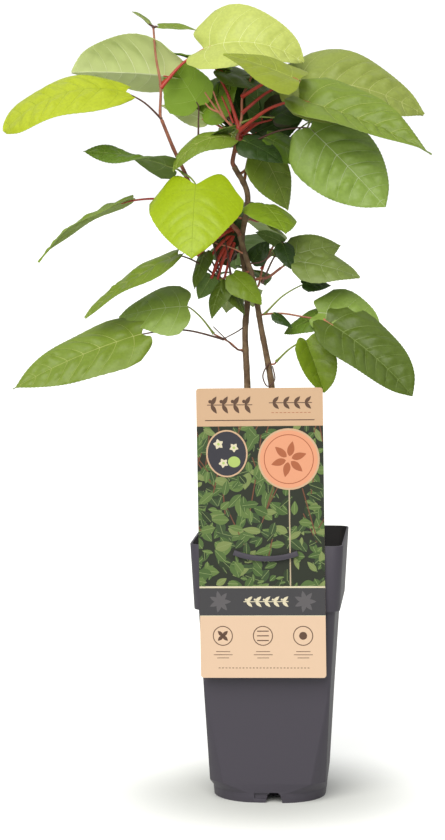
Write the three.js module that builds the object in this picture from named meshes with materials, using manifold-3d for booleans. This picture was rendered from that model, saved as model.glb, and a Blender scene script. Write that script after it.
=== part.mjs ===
// A young kiwi vine in a square nursery pot, with its picture card hung on the rim.
// Millimetres, +Z up. The origin is the middle of the pot's flat underside, and the
// card hangs on the -Y side. Headings are degrees from +X towards +Y, rises are degrees
// above level, and a length, a heading and a rise make one [polar] step.

import * as THREE from "three";
import { mergeVertices } from "three/addons/utils/BufferGeometryUtils.js";
import Module from "manifold-3d";

const wasm = await Module();
wasm.setup();

// Driving dimensions

const clearance = 0.3;

const pot = {
  height: 225, rimWidth: 130, bandFoot: 168, bandFootWidth: 124, neckWidth: 116.5,
  waist: 90, waistWidth: 107, footTop: 17, footWidth: 100, footFlat: 37.5, footHeart: 12,
  footStep: 8, standWidth: 98.5, footDraft: 1.5, wall: 1.6, floor: 11,
  bandStep: 0.5, rimCorner: 9, bandCorner: 11, neckCorner: 7, waistCorner: 2.5, standCorner: 38,
};
const notch = { width: 15, roofWidth: 11, height: 9, inwardTo: 20, drainWidth: 5, centreX: 6 };
const plate = { width: 12, height: 5, depth: 1.2, inset: 1, centreX: -5, centreZ: 6 };
const hook = { span: 54, sag: 5, thickness: 4.2, middleZ: 214.3, reach: 4.4 };
const card = { width: 106.3, height: 246, thickness: 0.8, foot: 112.2, lean: 0.95, centreX: -1.8, corner: 2.5 };
const soilTop = 197;

const longCuts = { rows: 5, columns: 4 };
const shortCuts = { rows: 4, columns: 2, under: 60 };
// Blades and stalks: sizes in millimetres, or as shares of a blade's length where noted
const leaf = {
  thinnest: 1, thicknessShare: 1 / 80, droop: 0.22, waveShare: 0.012, waves: 1.6, phaseStep: 0.37,
  fall: 0.9, lobe: 0.05, lobeLength: 4, outlineRise: 0.5, outlineStart: 0.04, narrowest: 0.02,
};
const stalk = { foot: 1.5, tip: 0.8, sides: 3, sections: 4, bow: 0.08, run: 0.08, under: [0.4, 0.2] };
const flareLength = 9;
const tubeStep = 14;
const firstStep = 3;
// Room that filler blades keep from other blades and from stems, and the points they test
const fillerGap = { blade: 7, stem: 7, pointsAlong: 10, pointsAcross: 3, stalkPoints: 12, stemStep: 5 };
const fillerRange = {
  at: [0.35, 1], stalkLength: [16, 44], stalkTurn: [-25, 25], stalkRise: [-5, 45], turn: [-20, 20],
  rise: [-42, 2], roll: [-28, 28], arch: [18, 42], fold: [0, 16], width: [0.62, 0.8], tries: 600,
};

// A limb is a few points that its middle line passes, with its thickness at both ends. It
// may leave the tip of another limb, or that limb's side at a height and towards a heading.
const limbs = {
  stem_left: {
    points: [[-24, 2, soilTop + clearance], [-22, 1, 280], [-21, 0, 354], [-23, 0, 401], [-21, 2, 435],
      [-26, 3, 478], [-21, -1, 520], [-32, -4, 543]],
    thickness: [6.2, 4.4], flare: 3, sides: 8, bark: 0x5b4a3a,
  },
  stem_right: {
    points: [[5, 3, soilTop + clearance], [3, 0, 290], [0, -1, 355], [-5, -2, 385], [-8.5, -3, 403],
      [-12, -4, 424], [-16, -5, 447], [-22, -7, 467], [-27, -9, 484]],
    thickness: [6.6, 4.2], flare: 3.2, sides: 8, bark: 0x6a5138,
  },
  bough_top: {
    from: "stem_left", points: [[-31.8, -5, 556], [-30, -4.6, 565]],
    thickness: [3.8, 3], flare: 0, sides: 6, bark: 0x6b4a3c,
  },
  bough_left: {
    from: "stem_right", points: [[-46, -11, 505], [-69, -11, 528], [-75, -11, 540], [-84, -15, 560],
      [-93, -15, 582]],
    thickness: [3.8, 2.8], flare: 0, sides: 6, bark: 0x6b3f3a,
  },
  side_shoot_right: {
    from: "stem_right", height: 446, side: 0, points: [[-4, -5, 448], [8, -4, 456.5]],
    thickness: [2.4, 2], flare: 0, sides: 6, bark: 0x5f4436,
  },
};

// A mass grows from one stem, which meets the tip of a limb, or its side at a height.
// Stalks leave the stem at a step number. Blades stated here are the ones that set the
// crown's outline, and filler blades are drawn by the seeded rule inside the mass's space.
const masses = {
  leaves_left_top: {
    limb: "bough_left", steps: [[30, 180, 88], [24, 165, 80], [25, 150, 84]], thickness: [2.6, 1.8],
    leaves: [
      { at: 0.03, stalk: [38, 193, 36], blade: [116, 188, -18], roll: -28, arch: 72, fold: 6, width: 0.6, fall: 0.65 },
      { at: 1, stalk: [12, 34, 38], blade: [90, 171, 3], roll: 42, arch: 12, fold: 31, width: 0.9, lobe: 0.1 },
      { at: 3, stalk: [5, 200, 50], blade: [24, 166, 38], roll: 10, arch: 30, fold: 20, width: 0.4 },
      { at: 3, stalk: [5, 0, 40], blade: [32, 4, -5], roll: 22, arch: 12, fold: 20, width: 0.36 },
      { at: 0.9, stalk: [48, 18, 35], blade: [92, 0, -3], roll: 46, arch: 76, fold: 23, width: 0.92, lobe: 0.1 },
    ],
  },
  leaves_left_shoot: {
    limb: "bough_left", height: 534, side: 262, steps: [[8, 262, 18]], thickness: [1.8, 1.6],
    leaves: [
      { at: 1, stalk: [24, 306, -24], blade: [80, 271, -54], roll: 3, arch: 24, fold: -4, width: 1, lobe: 0.12 },
      { at: 1, stalk: [10, 168, -6], blade: [78, 187, 10], roll: -10, twist: -100, arch: 20, fold: 4, width: 0.58 },
    ],
  },
  leaves_left_arm: {
    limb: "stem_left", height: 498, side: 172, steps: [[22, 172, 14], [26, 178, 10]], thickness: [2, 1.6],
    leaves: [
      { at: 2, stalk: [52, 176, 6], blade: [97, 187, -34], roll: 0, arch: 36, fold: 8, width: 0.5 },
    ],
  },
  leaves_crown_top: {
    limb: "bough_top", steps: [[20, 25, 77], [18, 60, 86], [14, 40, 60], [14, 20, 70]],
    thickness: [2.8, 1.8],
    leaves: [
      { at: 0.4, stalk: [70, 325, 21], blade: [124, 346, -22], roll: 30, arch: 20, fold: 25, width: 0.6, fall: 1.1 },
      { at: 1.2, stalk: [50, 8, 32], blade: [120, 3, -14], roll: 45, arch: 50, fold: 8, width: 0.78 },
      { at: 2, stalk: [77, 303, 5], blade: [64, 176, 28], roll: -22, arch: 12, fold: 6, width: 0.75 },
      { at: 0.45, stalk: [15, 244, -27], blade: [64, 197, -30], roll: -25, arch: 88, fold: 4, width: 0.56 },
      { at: 0.5, stalk: [58, 160, 66], blade: [44, 160, 4], roll: 8, arch: 20, fold: 12, width: 0.5 },
      { at: 0.45, stalk: [55, 160, 68], blade: [64, 12, -20], roll: 30, arch: 20, fold: 8, width: 0.6 },
      { at: 0.55, stalk: [46, 146, 24], blade: [37, 176, 44], roll: 50, arch: 20, fold: 0, width: 1 },
      { at: 0.75, stalk: [30, 356, 10], blade: [52, 13, 23], roll: 30, arch: 20, fold: 0, width: 0.7 },
    ],
  },
  leaves_crown_right: {
    limb: "bough_top", height: 556, side: 345, steps: [[12, 345, 30]], thickness: [2, 1.8],
    leaves: [
      { at: 1, stalk: [58, 333, 10], blade: [95, 341, -44], roll: 56, arch: 14, fold: 30, width: 0.82, fall: 0.78 },
      { at: 1, stalk: [17, 0, 20], blade: [48, 9, -33], roll: 40, arch: 20, fold: 6, width: 0.8 },
      { at: 0.4, stalk: [12, 281, 36], blade: [42, 343, -28], roll: 35, arch: 24, fold: 4, width: 0.75 },
      { at: 1, stalk: [19, 58, -12], blade: [58, 21, -65], roll: 60, arch: 16, fold: 4, width: 0.9 },
    ],
  },
  leaf_front_mid: {
    limb: "stem_left", height: 508, side: 280, steps: [[7, 285, 5]], thickness: [1.8, 1.6],
    leaves: [
      { at: 1, stalk: [14, 340, 10], blade: [50, 299, -29], roll: -6, arch: 24, fold: 2, width: 1 },
    ],
  },
  leaves_core: {
    limb: "stem_right", height: 454, side: 225, steps: [[15, 215, -10], [12, 190, -18]], thickness: [2.2, 1.8],
    leaves: [
      { at: 2, stalk: [42, 174, 29], blade: [97, 186, -34], roll: -15, arch: 24, fold: 10, width: 0.52 },
      { at: 2, stalk: [27, 163, 60], blade: [34, 220, -70], roll: 0, arch: 20, fold: 0, width: 0.7 },
      { at: 2, stalk: [5, 307, -17], blade: [34, 225, -68], roll: 0, arch: 20, fold: 0, width: 0.8 },
      { at: 1.3, stalk: [5, 230, -40], blade: [34, 352, -62], roll: 20, arch: 20, fold: 0, width: 0.75 },
      { at: 1, stalk: [8, 270, 5], blade: [36, 350, -45], roll: 40, arch: 20, fold: 0, width: 0.8 },
      { at: 2, stalk: [34, 190, 78], blade: [46, 150, 10], roll: 0, arch: 30, fold: 4, width: 0.7 },
      { at: 1.2, stalk: [36, 140, 76], blade: [46, 110, 14], roll: 0, arch: 30, fold: 4, width: 0.7 },
    ],
  },
  leaves_left_low: {
    limb: "stem_left", height: 386, side: 182, steps: [[12, 178, 30], [16, 182, 28]], thickness: [1.8, 1.4],
    leaves: [
      { at: 2, stalk: [33, 180, 46], blade: [62, 174, -10], roll: -48, arch: 24, fold: 4, width: 0.9 },
      { at: 1.4, stalk: [71, 190, 4], blade: [121, 189, -23], roll: -42, arch: 20, fold: 6, width: 0.5, fall: 0.85 },
    ],
  },
  leaves_right_mid: {
    limb: "side_shoot_right", steps: [[6, 0, 30]], thickness: [1.8, 1.6],
    leaves: [
      { at: 1, stalk: [8, 326, 64], blade: [46, 19, 11], roll: 50, arch: 24, fold: 4, width: 0.9 },
      { at: 1, stalk: [11, 326, 13], blade: [56, 356, -14], roll: 40, arch: 24, fold: 6, width: 0.75 },
      { at: 0.6, stalk: [19, 240, 80], blade: [24, 317, -64], roll: 20, arch: 20, fold: 0, width: 0.8 },
    ],
  },
  leaves_right_low: {
    limb: "stem_right", height: 416, side: 350, steps: [[18, 350, 4], [18, 352, -8], [18, 352, -8]],
    thickness: [1.8, 1.4],
    leaves: [
      { at: 0.1, stalk: [42, 2, 38], blade: [26, 22, -3], roll: 45, arch: 20, fold: 4, width: 0.6 },
      { at: 3, stalk: [8, 140, 46], blade: [56, 5, -14], roll: 56, arch: 44, fold: 8, width: 1, fall: 0.7, lobe: 0.1 },
      { at: 3, stalk: [5, 297, -10], blade: [100, 346, -39], roll: 35, arch: 30, fold: 20, width: 0.66, fall: 0.65 },
      { at: 3, stalk: [7, 100, 35], blade: [38, 169, -27], roll: -40, arch: 20, fold: 4, width: 0.75 },
      { at: 0.6, stalk: [5, 270, 0], blade: [20, 345, -35], roll: 30, arch: 10, fold: 0, width: 0.6 },
    ],
  },
  leaf_right_foot: {
    limb: "stem_right", height: 373, side: 350, steps: [[5, 340, 30]], thickness: [1.6, 1.4],
    leaves: [
      { at: 1, stalk: [34, 338, 34], blade: [48, 330, -67], roll: 35, arch: 14, fold: 40, width: 0.95, fall: 0.6 },
    ],
  },
  leaves_back_top: {
    limb: "stem_left", height: 530, side: 80, steps: [[26, 80, 50], [26, 70, 45], [22, 95, 40]],
    thickness: [2.8, 1.8], leaves: [],
    filler: { seed: 11, count: 8, heading: [20, 165], length: [60, 98],
      space: [[-72, 60], [8, 165], [556, 630]] },
  },
  leaves_back_mid: {
    limb: "stem_left", height: 468, side: 100, steps: [[32, 105, 30], [30, 88, 22]], thickness: [2.6, 1.8],
    leaves: [],
    filler: { seed: 23, count: 7, heading: [35, 175], length: [56, 95],
      space: [[-100, 12], [8, 165], [438, 516]] },
  },
  leaves_back_low: {
    limb: "stem_left", height: 422, side: 120, steps: [[26, 125, 24], [20, 110, 18]], thickness: [2.2, 1.6],
    leaves: [],
    filler: { seed: 37, count: 4, heading: [60, 175], length: [46, 76],
      space: [[-78, -2], [8, 135], [398, 470]] },
  },
  leaves_back_right: {
    limb: "stem_left", height: 536, side: 45, steps: [[30, 55, 26], [28, 45, 24], [26, 25, 20]],
    thickness: [2.6, 1.6], leaves: [],
    filler: { seed: 41, count: 6, heading: [-15, 95], length: [52, 88],
      space: [[-8, 104], [20, 165], [540, 616]] },
  },
  leaves_back_foot: {
    limb: "stem_right", height: 440, side: 60, steps: [[26, 70, 50], [22, 60, 45]], thickness: [2, 1.6],
    leaves: [],
    filler: { seed: 53, count: 4, heading: [30, 140], length: [46, 76],
      space: [[-46, 26], [8, 140], [456, 550]] },
  },
};

// Vectors and the seeded rule

const degrees = Math.PI / 180;
const upward = new THREE.Vector3(0, 0, 1);
const vector = (list) => new THREE.Vector3(...list);

function polar([length, heading, rise]) {
  const level = length * Math.cos(rise * degrees);
  return new THREE.Vector3(level * Math.cos(heading * degrees), level * Math.sin(heading * degrees),
    length * Math.sin(rise * degrees));
}

function seededNumbers(seed) {
  let state = seed;
  return (low, high) => {
    state = (state * 1664525 + 1013904223) % 4294967296;
    return low + (high - low) * state / 4294967296;
  };
}

function smoothPath(points) {
  return new THREE.CatmullRomCurve3(points);
}

// Closed bodies

function toSolid(geometry) {
  const bare = geometry.clone();
  bare.deleteAttribute("normal");
  bare.deleteAttribute("uv");
  const merged = mergeVertices(bare, 1e-4);
  return new wasm.Manifold(new wasm.Mesh({
    numProp: 3,
    vertProperties: new Float32Array(merged.attributes.position.array),
    triVerts: new Uint32Array(merged.index.array),
  }));
}

function toGeometry(solid) {
  const { vertProperties, triVerts } = solid.getMesh();
  const geometry = new THREE.BufferGeometry();
  geometry.setAttribute("position", new THREE.BufferAttribute(vertProperties, 3));
  geometry.setIndex(new THREE.BufferAttribute(triVerts, 1));
  return geometry;
}

// A closed skin over rings of points that all have the same count, with flat ends
function loft(rings) {
  const count = rings[0].length;
  const positions = rings.flat().flatMap((point) => point.toArray());
  const faces = [];
  for (let ring = 0; ring + 1 < rings.length; ring++) {
    for (let i = 0; i < count; i++) {
      const a = ring * count + i;
      const b = ring * count + (i + 1) % count;
      faces.push(a, b, b + count, a, b + count, a + count);
    }
  }
  const last = (rings.length - 1) * count;
  for (let i = 1; i + 1 < count; i++) {
    faces.push(0, i + 1, i);
    faces.push(last, last + i, last + i + 1);
  }
  const geometry = new THREE.BufferGeometry();
  geometry.setAttribute("position", new THREE.Float32BufferAttribute(positions, 3));
  geometry.setIndex(faces);
  return geometry;
}

// A round limb along a path, its half thickness given by a function of the way along
function tube(path, sections, sides, radiusAt) {
  const frames = path.computeFrenetFrames(sections);
  const rings = [];
  for (let i = 0; i <= sections; i++) {
    const along = i / sections;
    const middle = path.getPointAt(along);
    const ring = [];
    for (let k = 0; k < sides; k++) {
      const turn = 2 * Math.PI * k / sides;
      ring.push(middle.clone()
        .addScaledVector(frames.normals[i], Math.cos(turn) * radiusAt(along))
        .addScaledVector(frames.binormals[i], Math.sin(turn) * radiusAt(along)));
    }
    rings.push(ring);
  }
  return loft(rings);
}

// Pot, soil and card

const cornerSteps = 4;

// A square ring whose corners are arcs about a heart on the diagonal. Its sides are flat up to a
// distance from their middle. The arcs meet them smoothly where the heart lies at that distance.
function squareRing({ z, width, flat, heart }, inset) {
  const reach = Math.hypot(width / 2 - heart, flat - heart) - inset;
  const across = width / 2 - inset - heart;
  const start = Math.atan2(Math.sqrt(Math.max(0, reach ** 2 - across ** 2)), across);
  const ring = [];
  for (let quarter = 0; quarter < 4; quarter++) {
    for (let step = 0; step <= cornerSteps; step++) {
      const angle = start + (Math.PI / 2 - 2 * start) * step / cornerSteps;
      ring.push(new THREE.Vector3(heart + reach * Math.cos(angle), heart + reach * Math.sin(angle), z)
        .applyAxisAngle(upward, quarter * Math.PI / 2));
    }
  }
  return ring;
}

function roundLevel(z, width, corner) {
  return { z, width, flat: width / 2 - corner, heart: width / 2 - corner };
}

// Levels of the pot's skin, drawn in by an inset for its hollow and its filling
function potLevels(inset, bottom, top) {
  const neckAt = pot.bandFoot + inset;
  const levels = [
    roundLevel(0, pot.standWidth - pot.footDraft, pot.standCorner),
    roundLevel(pot.footStep, pot.standWidth, pot.standCorner),
    { z: pot.footTop, width: pot.footWidth, flat: pot.footFlat, heart: pot.footHeart },
    roundLevel(pot.waist, pot.waistWidth, pot.waistCorner),
    roundLevel(neckAt, pot.neckWidth, pot.neckCorner),
    roundLevel(neckAt + pot.bandStep, pot.bandFootWidth, pot.bandCorner),
    roundLevel(pot.height, pot.rimWidth, pot.rimCorner),
  ];
  const levelAt = (z) => {
    const found = levels.findIndex((level) => level.z >= z);
    const upper = found < 0 ? levels.length - 1 : Math.max(1, found);
    const [a, b] = [levels[upper - 1], levels[upper]];
    const between = (key) => a[key] + (b[key] - a[key]) * (z - a.z) / (b.z - a.z);
    return { z, width: between("width"), flat: between("flat"), heart: between("heart") };
  };
  const kept = levels.filter((level) => level.z > bottom && level.z < top);
  return [levelAt(bottom), ...kept, levelAt(top)].map((level) => squareRing(level, inset));
}

function drainNotch(turn) {
  const outline = new THREE.Shape([
    new THREE.Vector2(-notch.width / 2, -1), new THREE.Vector2(notch.width / 2, -1),
    new THREE.Vector2(notch.roofWidth / 2, notch.height - 2),
    new THREE.Vector2(notch.roofWidth / 2 - 2, notch.height),
    new THREE.Vector2(-notch.roofWidth / 2 + 2, notch.height),
    new THREE.Vector2(-notch.roofWidth / 2, notch.height - 2),
  ]);
  const channel = new THREE.ExtrudeGeometry(outline,
    { depth: pot.rimWidth / 2 - notch.inwardTo, bevelEnabled: false });
  channel.rotateX(Math.PI / 2);
  channel.translate(notch.centreX, -notch.inwardTo, 0);
  const drain = new THREE.CylinderGeometry(notch.drainWidth / 2, notch.drainWidth / 2, pot.floor, 8);
  drain.rotateX(Math.PI / 2);
  drain.translate(notch.centreX, -notch.inwardTo - notch.drainWidth, pot.floor);
  return toSolid(channel).add(toSolid(drain)).rotate([0, 0, turn]);
}

// The curved lip that the card hangs on: a smile, thicker by the given margin all round
function smileBar(margin, front, back) {
  const radius = (hook.span ** 2 / 4 + hook.sag ** 2) / (2 * hook.sag);
  const half = Math.asin((hook.span / 2 + margin) / radius);
  const reach = hook.thickness / 2 + margin;
  const outline = new THREE.Shape();
  const down = -Math.PI / 2;
  outline.absarc(0, hook.middleZ + radius, radius + reach, down - half, down + half, false);
  outline.absarc(0, hook.middleZ + radius, radius - reach, down + half, down - half, true);
  const bar = new THREE.ExtrudeGeometry(outline, { depth: back - front, bevelEnabled: false, curveSegments: 8 });
  bar.rotateX(Math.PI / 2);
  bar.translate(0, back, 0);
  return toSolid(bar);
}

const rimFront = -pot.rimWidth / 2;
const cardBack = rimFront - clearance;

function makePot() {
  let solid = toSolid(loft(potLevels(0, 0, pot.height)))
    .subtract(toSolid(loft(potLevels(pot.wall, pot.floor, pot.height + 1))));
  for (const turn of [0, 90, 180, 270]) {
    solid = solid.subtract(drainNotch(turn));
  }
  const recess = new THREE.BoxGeometry(plate.width, 2 * plate.depth, plate.height);
  recess.translate(plate.centreX, -pot.standWidth / 2 + plate.inset, plate.centreZ);
  const lip = smileBar(0, cardBack - hook.reach, rimFront + 2 * pot.wall - 1);
  return toGeometry(solid.subtract(toSolid(recess)).add(lip));
}

function makeSoil() {
  const inset = pot.wall + clearance;
  return loft(potLevels(inset, pot.floor + clearance, soilTop));
}

function makeCard() {
  const outline = new THREE.Shape();
  const [w, h, r] = [card.width / 2, card.height, card.corner];
  outline.absarc(w - r, r, r, -Math.PI / 2, 0, false);
  outline.absarc(w - r, h - r, r, 0, Math.PI / 2, false);
  outline.absarc(-w + r, h - r, r, Math.PI / 2, Math.PI, false);
  outline.absarc(-w + r, r, r, Math.PI, 1.5 * Math.PI, false);
  const sheet = new THREE.ExtrudeGeometry(outline,
    { depth: card.thickness, bevelEnabled: false, curveSegments: 3 });
  sheet.rotateX(Math.PI / 2);
  sheet.rotateY(-card.lean * degrees);
  sheet.translate(card.centreX, cardBack, card.foot);
  const slit = smileBar(clearance, cardBack - 2 * card.thickness, cardBack + 1);
  return toGeometry(toSolid(sheet).subtract(slit));
}

// Limbs

// The share of a rising path's length that lies under a height
function shareAtHeight(path, height) {
  let [low, high] = [0, 1];
  for (let i = 0; i < 30; i++) {
    const middle = (low + high) / 2;
    [low, high] = path.getPointAt(middle).z < height ? [middle, high] : [low, middle];
  }
  return low;
}

// The first two points of what leaves a limb, clear of its tip or of its side
function leavingPoints(limb, height, side) {
  const share = height === undefined ? 1 : shareAtHeight(limb.path, height);
  const along = limb.path.getTangentAt(share);
  const out = along.clone();
  let reach = clearance;
  if (side !== undefined) {
    out.copy(polar([1, side, 0]));
    out.addScaledVector(along, -out.dot(along)).normalize();
    reach += limb.radiusAt(share);
  }
  const joint = limb.path.getPointAt(share);
  return [reach, reach + firstStep].map((distance) => joint.clone().addScaledVector(out, distance));
}

function makeLimb({ from, height, side, points, thickness, flare }, limbShapes) {
  const start = from ? leavingPoints(limbShapes[from], height, side) : [];
  const path = smoothPath(start.concat(points.map(vector)));
  const length = path.getLength();
  const radiusAt = (along) => (thickness[0] + (thickness[1] - thickness[0]) * along) / 2
    + flare * Math.exp(-along * length / flareLength);
  return { path, length, radiusAt };
}

// Blades

// The way from the middle line to the edge of a blade, as a share of its half width. A
// low fall keeps the blade full almost to its tip.
function outlineAt(t, fall) {
  const { outlineRise, outlineStart } = leaf;
  const widest = (outlineRise - fall * outlineStart) / (outlineRise + fall);
  const shape = (s) => (s + outlineStart) ** outlineRise * (1 - s) ** fall;
  return Math.max(leaf.narrowest, shape(t) / shape(widest));
}

// A point of a blade: t runs from its stalk to its tip, u from its right edge (-1) to
// its left edge (1), and height is above its middle surface. The middle line is an arc
// whose chord is the blade's heading and rise, so the tip stays put as the arch changes.
function bladePoint(blade, t, u, height) {
  const [length, heading, rise] = blade.chord;
  const bend = Math.max(blade.arch, 1) * degrees;
  const radius = length / bend;
  const slope = bend * (0.5 - t);
  const forward = polar([1, heading, rise]);
  const level = new THREE.Vector3(-Math.sin(heading * degrees), Math.cos(heading * degrees), 0);
  const upright = forward.clone().cross(level);
  const turn = (blade.roll + blade.twist * (t - 0.5)) * degrees;
  const side = level.clone().multiplyScalar(Math.cos(turn)).addScaledVector(upright, Math.sin(turn));
  const face = upright.clone().multiplyScalar(Math.cos(turn)).addScaledVector(level, -Math.sin(turn));
  const along = forward.clone().multiplyScalar(Math.cos(slope)).addScaledVector(face, Math.sin(slope));
  const normal = face.clone().multiplyScalar(Math.cos(slope)).addScaledVector(forward, -Math.sin(slope));
  const half = length * blade.width / 2;
  const out = Math.abs(u) * half * outlineAt(t, blade.fall);
  const lobe = blade.lobe * length * (1 - t) ** leaf.lobeLength * Math.sin(Math.PI * Math.abs(u) ** 1.3);
  const turns = leaf.waves * t + blade.phase + 0.3 * u;
  const wave = leaf.waveShare * length * u * u * Math.sin(2 * Math.PI * turns);
  const lift = out * Math.sin(blade.fold * degrees) - leaf.droop * out * out / half + wave + height;
  return blade.root.clone()
    .addScaledVector(forward, radius * (Math.sin(bend / 2) - Math.sin(slope)))
    .addScaledVector(face, radius * (Math.cos(slope) - Math.cos(bend / 2)))
    .addScaledVector(along, -lobe)
    .addScaledVector(side, Math.sign(u) * out * Math.cos(blade.fold * degrees))
    .addScaledVector(normal, lift);
}

// Rows stand closer at the tip, and columns at the edges
const rowAt = (t) => 1 - (1 - t) ** 1.25;
const columnAt = (u) => Math.sign(u) * Math.abs(u) ** 0.75;

function bladeSolid(blade) {
  const cuts = blade.filler || blade.chord[0] < shortCuts.under ? shortCuts : longCuts;
  const slab = new THREE.BoxGeometry(2, 1, 1, cuts.columns, cuts.rows, 1);
  const place = slab.attributes.position;
  const thickness = Math.max(leaf.thinnest, blade.chord[0] * leaf.thicknessShare);
  for (let i = 0; i < place.count; i++) {
    const [u, t] = [-place.getX(i), place.getY(i) + 0.5];
    const point = bladePoint(blade, rowAt(t), columnAt(u), place.getZ(i) * thickness);
    place.setXYZ(i, ...point.toArray());
  }
  return toSolid(slab);
}

// The stalk leaves its stem, sags into the blade and runs on under the middle line.
function stalkSolid(blade) {
  return toSolid(tube(smoothPath(blade.stalk), stalk.sections, stalk.sides,
    (along) => stalk.foot + (stalk.tip - stalk.foot) * along));
}

function makeBlade(marks, steps, pose, phase) {
  const foot = marks.getPoint(pose.at / steps);
  const reach = polar(pose.stalk);
  const blade = {
    twist: 0, fall: leaf.fall, lobe: leaf.lobe, ...pose, chord: pose.blade, phase,
    root: foot.clone().add(reach),
  };
  const middle = foot.clone().addScaledVector(reach, 0.5);
  middle.z += stalk.bow * pose.stalk[0];
  blade.stalk = [foot, middle, bladePoint(blade, 0, 0, -stalk.under[0]),
    bladePoint(blade, stalk.run, 0, -stalk.under[1])];
  blade.points = smoothPath(blade.stalk).getPoints(fillerGap.stalkPoints).slice(3);
  for (let row = 0; row <= fillerGap.pointsAlong; row++) {
    for (let column = -fillerGap.pointsAcross; column <= fillerGap.pointsAcross; column++) {
      blade.points.push(bladePoint(blade, row / fillerGap.pointsAlong, column / fillerGap.pointsAcross, 0));
    }
  }
  return blade;
}

// Masses

function massStem(mass, limbShapes) {
  const points = leavingPoints(limbShapes[mass.limb], mass.height, mass.side);
  let head = points[0];
  const marks = [head];
  for (const step of mass.steps) {
    head = head.clone().add(polar(step));
    marks.push(head);
    points.push(head);
  }
  return { path: smoothPath(points), marks: smoothPath(marks) };
}

const distanceUnder = (points, others, gap) =>
  points.some((point) => others.some((other) => point.distanceTo(other) < gap));

// Draws filler blades one by one, and skips each that leaves the mass's space or comes
// near a limb, another mass's stem or any blade.
function growFiller(mass, stem, placed, stemPoints) {
  const { seed, count, heading, length, space } = mass.filler;
  const next = seededNumbers(seed);
  const draw = (name) => next(...fillerRange[name]);
  const steps = mass.steps.length;
  const grown = [];
  for (let tries = 0; tries < fillerRange.tries * count && grown.length < count; tries++) {
    const facing = next(...heading);
    const pose = {
      at: draw("at") * steps,
      stalk: [draw("stalkLength"), facing + draw("stalkTurn"), draw("stalkRise")],
      blade: [next(...length), facing + draw("turn"), draw("rise")],
      roll: draw("roll"), arch: draw("arch"), fold: draw("fold"), width: draw("width"), filler: true,
    };
    const blade = makeBlade(stem.marks, steps, pose, next(0, 1));
    const inside = blade.points.every((point) => point.toArray()
      .every((value, axis) => value >= space[axis][0] && value <= space[axis][1]));
    const others = placed.concat(grown).flatMap((other) => other.points);
    if (inside && !distanceUnder(blade.points, others, fillerGap.blade)
      && !distanceUnder(blade.points, stemPoints, fillerGap.stem)) {
      grown.push(blade);
    }
  }
  return grown;
}

function massGeometry(mass, stem, grown) {
  const [thick, thin] = mass.thickness.map((size) => size / 2);
  const sections = 3 * mass.steps.length;
  const core = toSolid(tube(stem.path, sections, 5, (along) => thick + (thin - thick) * along));
  const solids = [core, ...grown.flatMap((blade) => [bladeSolid(blade), stalkSolid(blade)])];
  const bodies = wasm.Manifold.union(solids).decompose();
  return toGeometry(bodies.reduce((most, body) => body.volume() > most.volume() ? body : most));
}

// Assembly

const finish = {
  plastic: new THREE.MeshStandardMaterial({ color: 0x4d4a52, roughness: 0.5 }),
  soil: new THREE.MeshStandardMaterial({ color: 0x2f241b, roughness: 0.95 }),
  card: new THREE.MeshStandardMaterial({ color: 0xdcb583, roughness: 0.6 }),
};
const leafGreens = [0xa9c63a, 0xb4d12f, 0x8fb04a, 0xa3bf45, 0x5c8234, 0x8fb73a, 0x55752f, 0x86a844];

const plant = new THREE.Group();

function addNode(name, geometry, material) {
  const node = new THREE.Mesh(geometry, material);
  node.name = name;
  plant.add(node);
}

addNode("pot", makePot(), finish.plastic);
addNode("potting_soil", makeSoil(), finish.soil);
addNode("label_card", makeCard(), finish.card);

const limbShapes = {};
for (const [name, limb] of Object.entries(limbs)) {
  const shape = makeLimb(limb, limbShapes);
  limbShapes[name] = shape;
  const sections = Math.max(4, Math.round(shape.length / tubeStep));
  addNode(name, tube(shape.path, sections, limb.sides, shape.radiusAt),
    new THREE.MeshStandardMaterial({ color: limb.bark, roughness: 0.9 }));
}

const pointsOn = (path) => path.getSpacedPoints(Math.round(path.getLength() / fillerGap.stemStep));
const limbPoints = Object.values(limbShapes).flatMap((shape) => pointsOn(shape.path));
const stems = {};
const placed = [];
const grownBy = {};
for (const [name, mass] of Object.entries(masses)) {
  stems[name] = massStem(mass, limbShapes);
  grownBy[name] = mass.leaves.map((pose, i) =>
    makeBlade(stems[name].marks, mass.steps.length, pose, leaf.phaseStep * i % 1));
  placed.push(...grownBy[name]);
}
for (const [name, mass] of Object.entries(masses)) {
  if (mass.filler) {
    const otherStems = Object.keys(masses).filter((other) => other !== name)
      .flatMap((other) => pointsOn(stems[other].path));
    const grown = growFiller(mass, stems[name], placed, limbPoints.concat(otherStems));
    grownBy[name].push(...grown);
    placed.push(...grown);
  }
}
Object.entries(masses).forEach(([name, mass], i) => {
  addNode(name, massGeometry(mass, stems[name], grownBy[name]),
    new THREE.MeshStandardMaterial({ color: leafGreens[i % leafGreens.length], roughness: 0.55 }));
});

export default plant;
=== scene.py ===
import math
import bpy
import numpy as np
from mathutils import Matrix, Vector


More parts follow.
